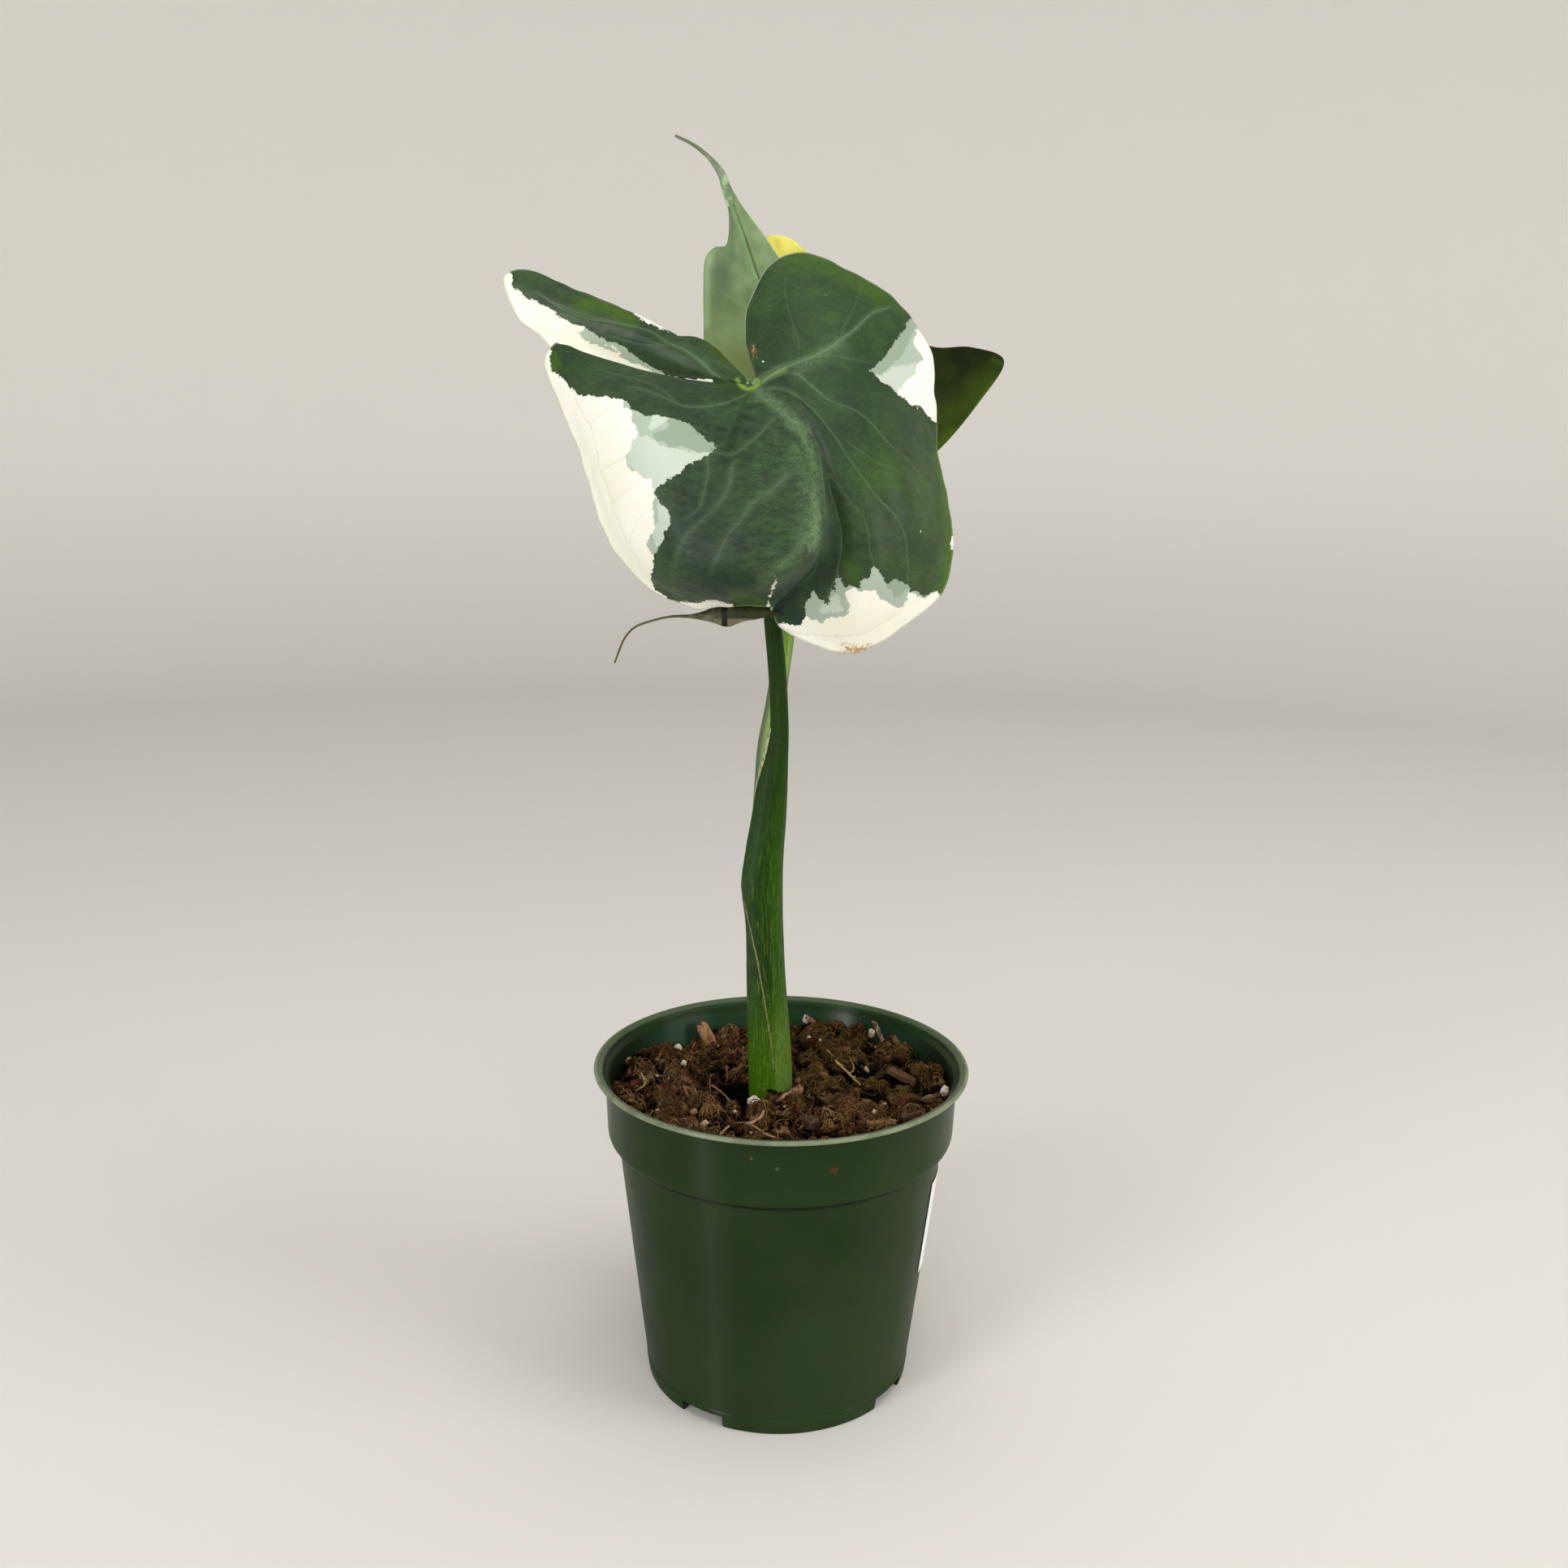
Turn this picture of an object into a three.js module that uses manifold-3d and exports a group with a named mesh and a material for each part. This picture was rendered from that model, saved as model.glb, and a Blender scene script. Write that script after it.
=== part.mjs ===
// A young variegated alocasia in a round nursery pot.
// Millimetres, +Z up. The origin is the middle of the pot's underside, and -Y is the front.
import * as THREE from 'three';
import { mergeVertices } from 'three/addons/utils/BufferGeometryUtils.js';
import Module from 'manifold-3d';

const wasm = await Module();
wasm.setup();

// Driving dimensions
const pot = {
  rimRadius: 53,
  height: 93.4,
  baseRadius: 37.9,
  bodyTopRadius: 46.2,
  bodyTop: 71.8,
  bandRadius: 49.2,
  bandTopRadius: 49.8,
  lipUnderside: 92.2,
  wall: 1.2,
  floorUnderside: 3,
  floorTop: 4.2,
  footRingInner: 34.8,
  centrePadRadius: 7,
  sides: 60,
};
const drain = { count: 4, firstAngle: -33, width: 13.4, height: 3.4, holeInner: 30.5, holeOuter: 35.6 };
const label = { from: 69.6, to: 118, bottom: 36, top: 64, thickness: 0.5, steps: 14 };
const soil = { level: 85.6, rings: 10, crumbs: 22, seed: 11 };
const blade = { thickness: 0.8, ribHeight: 0.7, spokeSteps: 3, radialSteps: 8, tailSides: 6, tailSteps: 24 };
const petiole = { sides: 12, outerSteps: 36, innerSteps: 28 };
const corm = { sides: 12, steps: 8, roots: 6, rootSides: 6, rootSteps: 5 };
const gap = 0.3;

const materials = {
  potGreen: new THREE.MeshStandardMaterial({ name: 'potGreen', color: 0x2c4a30, roughness: 0.45 }),
  soilBrown: new THREE.MeshStandardMaterial({ name: 'soilBrown', color: 0x3a2416, roughness: 1 }),
  stemGreen: new THREE.MeshStandardMaterial({ name: 'stemGreen', color: 0x2f5a14, roughness: 0.5 }),
  youngStem: new THREE.MeshStandardMaterial({ name: 'youngStem', color: 0x6f9a3c, roughness: 0.5 }),
  leafGreen: new THREE.MeshStandardMaterial({ name: 'leafGreen', color: 0x2b4a2c, roughness: 0.45 }),
  underGreen: new THREE.MeshStandardMaterial({ name: 'underGreen', color: 0x6d8a66, roughness: 0.6 }),
  cormSkin: new THREE.MeshStandardMaterial({ name: 'cormSkin', color: 0x7a5a38, roughness: 0.9 }),
  wood: new THREE.MeshStandardMaterial({ name: 'wood', color: 0x9b7250, roughness: 0.9 }),
  straw: new THREE.MeshStandardMaterial({ name: 'straw', color: 0xa88f52, roughness: 0.8 }),
  perlite: new THREE.MeshStandardMaterial({ name: 'perlite', color: 0xe8e2d6, roughness: 0.9 }),
  paper: new THREE.MeshStandardMaterial({ name: 'paper', color: 0xf2f2f0, roughness: 0.6 }),
};

// Solids: a closed mesh becomes a solid, and a solid becomes a geometry again
function toSolid(geometry) {
  const bare = geometry.clone();
  bare.deleteAttribute('normal');
  bare.deleteAttribute('uv');
  const merged = mergeVertices(bare, 1e-4);
  const corners = [];
  for (let i = 0; i < merged.index.count; i += 3) {
    const triangle = [0, 1, 2].map((k) => merged.index.getX(i + k));
    if (new Set(triangle).size === 3) corners.push(...triangle);
  }
  const vertProperties = Float32Array.from(merged.attributes.position.array);
  const triVerts = Uint32Array.from(corners);
  return new wasm.Manifold(new wasm.Mesh({ numProp: 3, vertProperties, triVerts }));
}

function toGeometry(solid) {
  const mesh = solid.getMesh();
  const geometry = new THREE.BufferGeometry();
  geometry.setAttribute('position', new THREE.BufferAttribute(Float32Array.from(mesh.vertProperties), 3));
  geometry.setIndex(new THREE.BufferAttribute(Uint32Array.from(mesh.triVerts), 1));
  geometry.computeVertexNormals();
  return geometry;
}

function largestBody(solid) {
  return solid.decompose().reduce((best, body) => (body.volume() > best.volume() ? body : best));
}

// Repeatable chance: a small generator for the crumbs, and smooth noise for the soil's surface
function seededRandom(seed) {
  let state = seed;
  return () => {
    state = (state * 1664525 + 1013904223) % 4294967296;
    return state / 4294967296;
  };
}

function latticeValue(ix, iy) {
  const s = Math.sin(ix * 127.1 + iy * 311.7) * 43758.5453;
  return s - Math.floor(s);
}

function smoothNoise(x, y) {
  const ix = Math.floor(x);
  const iy = Math.floor(y);
  const fx = THREE.MathUtils.smoothstep(x - ix, 0, 1);
  const fy = THREE.MathUtils.smoothstep(y - iy, 0, 1);
  const low = THREE.MathUtils.lerp(latticeValue(ix, iy), latticeValue(ix + 1, iy), fx);
  const high = THREE.MathUtils.lerp(latticeValue(ix, iy + 1), latticeValue(ix + 1, iy + 1), fx);
  return THREE.MathUtils.lerp(low, high, fy) * 2 - 1;
}

// A body of revolution about +Z from [radius, height] points that start and end on the axis
function revolve(points, sides) {
  const profile = points.map(([r, z]) => new THREE.Vector2(r, z));
  return new THREE.LatheGeometry(profile, sides).rotateX(Math.PI / 2);
}

const smoothCurve = (points) => new THREE.CatmullRomCurve3(points, false, 'catmullrom');

// A tapered tube through sections of { at: [x, y, z], half: [side, depth] }, closed at both ends.
// Its side axis stays level, as a petiole's does.
function taperedTube(sections, sides, steps, grow = 0) {
  const path = smoothCurve(sections.map((s) => new THREE.Vector3(...s.at)));
  const halves = smoothCurve(sections.map((s) => new THREE.Vector3(s.half[0], s.half[1], 0)));
  const sideHint = new THREE.Vector3(1, 0, 0);
  const positions = [];
  const index = [];
  for (let i = 0; i <= steps; i += 1) {
    const t = i / steps;
    const centre = path.getPoint(t);
    const along = path.getTangent(t);
    const half = halves.getPoint(t);
    const deep = new THREE.Vector3().crossVectors(along, sideHint).normalize();
    const side = new THREE.Vector3().crossVectors(deep, along).normalize();
    for (let k = 0; k < sides; k += 1) {
      const a = (k / sides) * 2 * Math.PI;
      const p = centre.clone();
      p.addScaledVector(side, Math.cos(a) * (half.x + grow));
      p.addScaledVector(deep, Math.sin(a) * (half.y + grow));
      positions.push(p.x, p.y, p.z);
    }
    for (let k = 0; i < steps && k < sides; k += 1) {
      const a = i * sides + k;
      const b = i * sides + ((k + 1) % sides);
      index.push(a, b, b + sides, a, b + sides, a + sides);
    }
  }
  const first = path.getPoint(0).addScaledVector(path.getTangent(0), -grow);
  const last = path.getPoint(1).addScaledVector(path.getTangent(1), grow);
  positions.push(...first.toArray(), ...last.toArray());
  const firstIndex = (steps + 1) * sides;
  for (let k = 0; k < sides; k += 1) {
    const next = (k + 1) % sides;
    index.push(firstIndex, next, k);
    index.push(firstIndex + 1, steps * sides + k, steps * sides + next);
  }
  const geometry = new THREE.BufferGeometry();
  geometry.setAttribute('position', new THREE.Float32BufferAttribute(positions, 3));
  geometry.setIndex(index);
  return geometry;
}

// A leaf blade: spokes run from the petiole's junction to the margin, in order round the leaf from one
// side of the sinus to the other. Both faces are split into triangles alike. Veins are spokes whose
// underside stands out as a rib.
function leafBlade(leaf, thickness, ribHeight) {
  const spokes = Object.values(leaf.spokes).map((points) => smoothCurve(
    [leaf.junction, ...points].map((p) => new THREE.Vector3(...p))));
  const names = Object.keys(leaf.spokes);
  const columns = (spokes.length - 1) * blade.spokeSteps;
  const rows = blade.radialSteps;
  const rings = [];
  for (let j = 0; j <= rows; j += 1) {
    rings.push(smoothCurve(spokes.map((s) => s.getPoint(j / rows))));
  }
  const point = (i, j) => rings[j].getPoint(i / columns);
  const upperNormal = (i, j) => {
    const across = point(Math.min(i + 1, columns), j).sub(point(Math.max(i - 1, 0), j));
    const outward = point(i, Math.min(j + 1, rows)).sub(point(i, Math.max(j - 1, 0)));
    return new THREE.Vector3().crossVectors(outward, across).normalize();
  };
  const positions = [];
  const addBoth = (p, normal, rib) => {
    positions.push(...p.clone().addScaledVector(normal, thickness / 2).toArray());
    positions.push(...p.clone().addScaledVector(normal, -thickness / 2 - rib).toArray());
  };
  const centreNormal = new THREE.Vector3();
  for (let i = 0; i <= columns; i += 1) centreNormal.add(upperNormal(i, 1));
  addBoth(point(0, 0), centreNormal.normalize(), 0);
  const at = (i, j) => (j === 0 ? 0 : 2 * (1 + i * rows + (j - 1)));
  for (let i = 0; i <= columns; i += 1) {
    const isVein = i % blade.spokeSteps === 0 && leaf.veins.includes(names[i / blade.spokeSteps]);
    for (let j = 1; j <= rows; j += 1) {
      addBoth(point(i, j), upperNormal(i, j), isVein ? ribHeight * (1 - j / rows) : 0);
    }
  }
  const index = [];
  const addFace = (a, b, c) => index.push(a, b, c, a + 1, c + 1, b + 1);
  const addEdge = (a, b) => index.push(a, b + 1, b, a, a + 1, b + 1);
  for (let i = 0; i < columns; i += 1) {
    addFace(0, at(i, 1), at(i + 1, 1));
    for (let j = 1; j < rows; j += 1) {
      addFace(at(i, j), at(i, j + 1), at(i + 1, j + 1));
      addFace(at(i, j), at(i + 1, j + 1), at(i + 1, j));
    }
    addEdge(at(i, rows), at(i + 1, rows));
  }
  for (let j = 0; j < rows; j += 1) {
    addEdge(at(0, j), at(0, j + 1));
    addEdge(at(columns, j + 1), at(columns, j));
  }
  const geometry = new THREE.BufferGeometry();
  geometry.setAttribute('position', new THREE.Float32BufferAttribute(positions, 3));
  geometry.setIndex(index);
  return geometry;
}

// Pot: foot ring and centre pad on the ground, tapered body, wide band and a flared lip
function potSolid() {
  const inner = (r) => r - pot.wall;
  const body = toSolid(revolve([
    [0, 0], [pot.centrePadRadius, 0], [pot.centrePadRadius + 1.2, pot.floorUnderside],
    [pot.footRingInner, pot.floorUnderside], [pot.footRingInner + 0.4, 0],
    [pot.baseRadius - 0.6, 0], [pot.baseRadius, 0.8],
    [pot.bodyTopRadius, pot.bodyTop], [pot.bandRadius - 1.4, pot.bodyTop + 0.5],
    [pot.bandRadius - 0.3, pot.bodyTop + 1.4], [pot.bandRadius, pot.bodyTop + 3],
    [pot.bandTopRadius, pot.lipUnderside - 1.2], [pot.bandTopRadius + 1.2, pot.lipUnderside],
    [pot.rimRadius - 0.4, pot.lipUnderside], [pot.rimRadius, pot.lipUnderside + 0.5],
    [pot.rimRadius - 0.3, pot.height - 0.1], [pot.rimRadius - 0.8, pot.height],
    [pot.rimRadius - 2.2, pot.height - 0.1], [pot.rimRadius - 3.4, pot.height - 1.4],
    [inner(pot.bandTopRadius), pot.height - 3.6], [inner(pot.bandRadius), pot.bodyTop + 3],
    [inner(pot.bandRadius) - 0.9, pot.bodyTop + 1.2], [inner(pot.bodyTopRadius), pot.bodyTop - 0.6],
    [inner(pot.baseRadius) + 0.4, pot.floorTop], [0, pot.floorTop],
  ], pot.sides));
  let cut = body;
  for (let i = 0; i < drain.count; i += 1) {
    const angle = THREE.MathUtils.degToRad(drain.firstAngle + (i * 360) / drain.count);
    const notch = new THREE.BoxGeometry(drain.width, 12, drain.height + 1);
    notch.translate(0, -(drain.holeOuter + 2), drain.height - (drain.height + 1) / 2).rotateZ(angle);
    const holeDepth = drain.holeOuter - drain.holeInner;
    const hole = new THREE.BoxGeometry(drain.width - 2, holeDepth, pot.floorTop * 3);
    hole.translate(0, -(drain.holeInner + drain.holeOuter) / 2, pot.floorTop).rotateZ(angle);
    cut = cut.subtract(toSolid(notch)).subtract(toSolid(hole));
  }
  return cut;
}

// Blank label: a thin sheet bent round the tapered body, towards the back on the right
function labelGeometry() {
  const slope = (pot.bodyTopRadius - pot.baseRadius) / (pot.bodyTop - 0.8);
  const wallAt = (z) => pot.baseRadius + slope * (z - 0.8) + gap;
  const sheet = new THREE.BoxGeometry(1, 1, 1, label.steps, 4, 1);
  const position = sheet.attributes.position;
  for (let i = 0; i < position.count; i += 1) {
    const turn = THREE.MathUtils.lerp(label.from, label.to, position.getX(i) + 0.5);
    const z = THREE.MathUtils.lerp(label.bottom, label.top, position.getY(i) + 0.5);
    const r = wallAt(z) + (position.getZ(i) + 0.5) * label.thickness;
    const angle = THREE.MathUtils.degToRad(turn);
    position.setXYZ(i, r * Math.sin(angle), -r * Math.cos(angle), z);
  }
  return toGeometry(toSolid(sheet));
}

// Stems. The outer petiole's sheath wraps the inner petiole up to where it leaves on the left.
const outerPetiole = [
  { at: [-2.7, 0, 76], half: [6.2, 5.5] },
  { at: [-3.2, 0, 90], half: [6.2, 5.4] },
  { at: [-3.8, 0, 103], half: [5.9, 5.2] },
  { at: [-4.6, 0, 116], half: [5.5, 5] },
  { at: [-5.3, 0, 133], half: [5.2, 4.8] },
  { at: [-6.1, -0.2, 145], half: [5.7, 4.7] },
  { at: [-5.5, -0.4, 154], half: [5.2, 4.5] },
  { at: [-4.5, -0.6, 163], half: [4.7, 4.1] },
  { at: [-3.8, -0.9, 172], half: [4.3, 3.7] },
  { at: [-2.7, -1.3, 181], half: [3.3, 3.1] },
  { at: [-1.9, -1.6, 190], half: [2.5, 2.6] },
  { at: [-2.6, -2.1, 204], half: [2.4, 2.5] },
  { at: [-4, -3.2, 218], half: [2.3, 2.4] },
  { at: [-5.7, -5.2, 235], half: [2.1, 2.2] },
  { at: [-7.9, -8.4, 255], half: [2, 2.1] },
  { at: [-9.3, -10.6, 269], half: [1.9, 1.9] },
  { at: [-9.95, -12.6, 277.9], half: [1.7, 1.6] },
];
const innerPetiole = [
  { at: [-3.4, 0.9, 84], half: [2.9, 2.8] },
  { at: [-4.6, 0.8, 116], half: [2.8, 2.7] },
  { at: [-6.4, 0.8, 145], half: [2.8, 2.7] },
  { at: [-6.4, 1.8, 163], half: [2.6, 2.6] },
  { at: [-5.9, 2.5, 174], half: [2.6, 2.6] },
  { at: [-5.2, 3.2, 184], half: [2.6, 2.6] },
  { at: [-2.9, 4.3, 197], half: [2.6, 2.5] },
  { at: [-0.5, 6.4, 215], half: [2.5, 2.4] },
  { at: [1.7, 11, 235], half: [2.2, 2.2] },
  { at: [3.3, 17, 251], half: [2, 2] },
  { at: [4, 22.4, 264.2], half: [1.7, 1.6] },
];
// Front leaf: the upper face looks to the front and the tip hangs down, rolled to a thread
const frontLeaf = {
  junction: [-10, -14, 278.5],
  veins: ['flapTop4', 'left1', 'left3', 'midrib', 'bottomRight2', 'right2', 'top1'],
  spokes: {
    sinusLeft: [[-11, -14, 278.5], [-12, -13, 279.5], [-13, -12, 280]],
    flapInner: [[-12.5, -13, 281], [-15.5, -10, 283.5], [-18.5, -7, 287]],
    flapTop1: [[-15, -13, 282.5], [-19, -8, 286.5], [-24, -3, 290.5]],
    flapTop2: [[-18, -13, 283.5], [-26, -6, 289], [-33.5, 0, 292]],
    flapTop3: [[-20, -13, 284], [-32, -5, 292], [-44, 2, 298]],
    flapTop4: [[-21.5, -13, 284], [-39.5, -5, 293.5], [-57, 3, 303]],
    lobeTop: [[-23, -13, 284], [-45, -5, 294.5], [-68, 4, 307]],
    lobeTip: [[-23.5, -13, 283.5], [-46.5, -5, 292.5], [-74.5, 3, 305]],
    lobeLow1: [[-24, -13, 282], [-46.5, -4, 288.5], [-70.5, 1, 295]],
    lobeLow2: [[-24, -12, 280.5], [-45, -2, 285], [-65, -1, 291.5]],
    valley: [[-23, -14, 279], [-42, -6, 280.5], [-60.5, -6, 287]],
    crest: [[-21.5, -21, 278.5], [-39, -27, 281.5], [-58.5, -16, 288]],
    crestLow: [[-20.5, -25, 276], [-39.5, -32, 276.5], [-61, -18, 282.5]],
    left1: [[-20, -27, 272.5], [-37, -36, 267.5], [-56, -20, 268.5]],
    left2: [[-18.5, -29, 268.5], [-33, -41, 257], [-51.5, -22, 255]],
    left3: [[-16, -32, 264.5], [-27, -46, 246], [-46, -25, 239.5]],
    left4: [[-13, -36, 262.5], [-21, -49, 239], [-35, -29, 228]],
    bottomLeft: [[-9, -38, 261.5], [-10.5, -51, 236.5], [-24, -31, 224]],
    byMidrib: [[-4.5, -36, 263], [0.5, -50, 237.5], [-13.5, -31, 225]],
    bulge: [[-0.5, -30, 266.8], [7.5, -46, 242], [-4.5, -31, 225]],
    midrib: [[1.2, -26.6, 269.2], [7.5, -36, 241.5], [-4, -26, 223]],
    byMidribRight: [[3, -25.6, 270.6], [11.5, -33, 240.5], [-1.5, -24, 219]],
    bottomRight1: [[5.5, -27, 270], [16.5, -34, 237], [8, -24, 214]],
    bottomRight2: [[7.5, -27, 269], [21.5, -33, 238.5], [17.5, -21, 212]],
    bottomRight3: [[9, -26, 269.5], [25, -30, 242], [29, -16, 217.5]],
    right1: [[9.5, -25, 271], [27, -28, 249], [40.5, -9, 227.5]],
    right2: [[9, -24, 273.5], [26, -25, 258.5], [42.5, -4, 244]],
    right3: [[7.5, -22, 276.5], [23.5, -20, 269], [38.5, -1, 262.5]],
    right4: [[6.5, -20, 280], [21, -16, 278.5], [37.5, 3, 277]],
    right5: [[5, -18, 282.5], [18, -12, 287], [36, 6, 289.5]],
    top1: [[2.5, -17, 284], [13.5, -9, 294], [27, 9, 301.5]],
    top2: [[-0.5, -16, 285], [7.5, -7, 298.5], [13.5, 10, 309.5]],
    top3: [[-3.5, -15, 285], [0.5, -6, 299.5], [2.5, 9, 313]],
    top4: [[-6, -14, 284.5], [-5.5, -6, 296.5], [-5.5, 6, 310]],
    innerEdge: [[-7.5, -14, 283], [-9, -8, 291.5], [-11, 1, 300.5]],
    innerLow: [[-8.5, -14, 281.5], [-9.5, -11, 285.5], [-12, -5, 291]],
    sinusRight: [[-9, -14, 279], [-9, -13, 280.5], [-9, -12, 282]],
  },
};
const frontTail = [
  { at: [-2, -26, 221.5], half: [1, 0.9] },
  { at: [-5.5, -26.5, 221.5], half: [1.4, 1.2] },
  { at: [-9.5, -26.5, 222], half: [1.8, 1.6] },
  { at: [-15, -26, 222], half: [2.6, 1.8] },
  { at: [-20.5, -25.5, 222], half: [1.5, 1.2] },
  { at: [-25.5, -25, 221.5], half: [0.8, 0.8] },
  { at: [-34, -24, 220.5], half: [0.5, 0.5] },
  { at: [-38.5, -23, 218.5], half: [0.45, 0.45] },
  { at: [-41, -22, 216], half: [0.4, 0.4] },
  { at: [-43, -21, 212], half: [0.4, 0.4] },
  { at: [-44, -20, 209], half: [0.35, 0.35] },
];

// Back leaf: younger and upright, with its underside to the front and its tail pointing up
const backLeaf = {
  junction: [4, 24, 265],
  veins: ['lobeOutL', 'left3', 'midrib', 'right2', 'right4'],
  spokes: {
    sinusLeft: [[2.5, 24, 263], [0.5, 22, 259], [-1, 20, 254]],
    lobeTipL: [[-1, 23, 260], [-7.5, 20, 253], [-12, 17, 244]],
    lobeOutL: [[-3.5, 24, 262], [-14, 22, 258.5], [-22.5, 21, 255]],
    left1: [[-4.5, 25, 265], [-15.5, 26, 270.5], [-26, 28, 273.5]],
    left2: [[-4, 26, 270], [-16, 28, 283], [-24.5, 31, 291]],
    left3: [[-3, 26, 274.5], [-15, 28, 294], [-24.5, 31, 305]],
    left4: [[-2, 26, 277.5], [-14, 27, 301], [-24, 30, 313.5]],
    shoulder: [[-2, 26, 279], [-13, 27, 304.5], [-21.5, 29, 316.5]],
    neckL1: [[-1.5, 26, 280], [-12, 26, 307], [-18, 28, 317.5]],
    neckL2: [[-1, 26, 281.5], [-11.5, 26, 309], [-17.5, 27, 325.5]],
    tipL: [[-1, 26, 282], [-10.5, 26, 310], [-19.5, 26, 332.5]],
    midrib: [[-0.5, 27, 282.5], [-10, 27, 310.5], [-19, 26, 334]],
    tipR: [[0, 26, 282.5], [-9, 26, 310], [-18, 26, 333]],
    neckR1: [[0.5, 26, 282.5], [-7.5, 26, 309], [-14, 26, 327]],
    neckR2: [[1.5, 26, 282], [-5, 26, 307], [-8.5, 25, 320]],
    edgeR: [[2.5, 26, 281.5], [-2.5, 26, 304.5], [-3, 24, 312.5]],
    rolled1: [[3.5, 28, 281.5], [-0.5, 30, 305], [-7.5, 31, 319.5]],
    rolled2: [[4, 28, 281.5], [1.5, 32, 305], [-2, 33, 320]],
    rolled3: [[5, 28, 281], [5, 33, 303], [3.5, 34, 316.5]],
    right1: [[7, 28, 280], [12, 33, 297], [13, 35, 309]],
    right2: [[9.5, 28, 277.5], [19.5, 32, 290.5], [25.5, 36, 298.5]],
    right3: [[13.5, 28, 273.5], [26, 32, 284.5], [39, 37, 292]],
    right4: [[17, 28, 271], [32.5, 32, 281.5], [50.5, 38, 292]],
    lobeTipR: [[19, 27, 268.5], [35, 31, 276.5], [60, 40, 288.5]],
    lobeOutR: [[18.5, 27, 265.5], [33.5, 30, 270.5], [53, 37, 277]],
    right5: [[17, 26, 263], [29.5, 28, 264], [42, 33, 264]],
    right6: [[14, 25, 261], [22, 26, 257.5], [28.5, 28, 253.5]],
    right7: [[10, 24, 261.5], [14, 24, 257], [17.5, 24, 250.5]],
    sinusRight: [[6, 24, 263], [7, 23, 260], [8.5, 22, 255.5]],
  },
};
const backTail = [
  { at: [-16.5, 26.3, 327], half: [1.6, 0.6] },
  { at: [-18.3, 26.2, 331.5], half: [1.3, 0.6] },
  { at: [-19.3, 26.2, 334.5], half: [1.1, 0.6] },
  { at: [-21.5, 26.5, 337.5], half: [0.8, 0.5] },
  { at: [-24, 26.8, 340], half: [0.55, 0.45] },
  { at: [-27.5, 27, 342.5], half: [0.45, 0.4] },
  { at: [-32, 27, 344.5], half: [0.35, 0.35] },
];

function leafSolid(leaf, tail) {
  const bladeSolid = toSolid(leafBlade(leaf, blade.thickness, blade.ribHeight));
  return largestBody(bladeSolid.add(toSolid(taperedTube(tail, blade.tailSides, blade.tailSteps))));
}

function leafClearance(leaf) {
  return toSolid(leafBlade(leaf, blade.thickness + 2 * gap, blade.ribHeight + gap));
}

// Corm: the underground stem that both petioles grow from, with its first roots
function cormSolid(grow = 0) {
  const body = toSolid(taperedTube([
    { at: [-2.7, 0, 75.6], half: [5, 4.6] },
    { at: [-2.7, 0, 72], half: [6, 5.4] },
    { at: [-2.6, 0, 64], half: [6.2, 5.6] },
    { at: [-2.4, 0, 56], half: [5.4, 5] },
    { at: [-2.2, 0, 50], half: [2.6, 2.4] },
  ], corm.sides, corm.steps, grow));
  let whole = body;
  for (let i = 0; i < corm.roots; i += 1) {
    const a = (i / corm.roots) * 2 * Math.PI + 0.4;
    const reach = 15 + 4 * latticeValue(i, 3);
    const start = [-2.4, 0, 58 + 6 * latticeValue(i, 7)];
    const middle = [start[0] + Math.cos(a) * reach * 0.6, Math.sin(a) * reach * 0.6, start[2] - 8];
    const end = [start[0] + Math.cos(a) * reach, Math.sin(a) * reach, start[2] - 24];
    whole = whole.add(toSolid(taperedTube([
      { at: start, half: [1.3, 1.3] },
      { at: middle, half: [1, 1] },
      { at: end, half: [0.6, 0.6] },
    ], corm.rootSides, corm.rootSteps, grow)));
  }
  return whole;
}

// Potting mix: fills the pot a gap inside its wall, with a rough top that dips round the stems.
// Three broad swells: a pit by the stem, a low place at the back left and a mound at the back right.
const swells = [
  { x: -12.5, y: -3.5, radius: 5, rise: -6 },
  { x: -26, y: 40, radius: 16, rise: -4 },
  { x: 19, y: 44, radius: 6, rise: 1.8 },
];

function soilHeight(x, y) {
  const r = Math.hypot(x, y);
  const lumps = 1.3 * smoothNoise(x / 7 + 3.1, y / 7) + 0.9 * smoothNoise(x / 3.1, y / 3.1 + 8);
  const dip = -1.4 * Math.exp(-(r * r) / 220);
  const toBack = -0.9 * THREE.MathUtils.smoothstep(y, 5, 45);
  const toFront = 1.2 * THREE.MathUtils.smoothstep(-y, 10, 45);
  const swell = swells.reduce((sum, s) => (
    sum + s.rise * Math.exp(-((x - s.x) ** 2 + (y - s.y) ** 2) / s.radius ** 2)), 0);
  return soil.level + lumps + dip + toBack + toFront + swell;
}

function crumbGeometry(random, size) {
  const crumb = new THREE.IcosahedronGeometry(1, 0);
  const stretch = [1 + random() * 1.2, 0.7 + random() * 0.4, 0.6 + random() * 0.3];
  crumb.scale(size * stretch[0], size * stretch[1], size * stretch[2]);
  crumb.rotateX(random() * 0.8).rotateZ(random() * 2 * Math.PI);
  return crumb;
}

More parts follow.
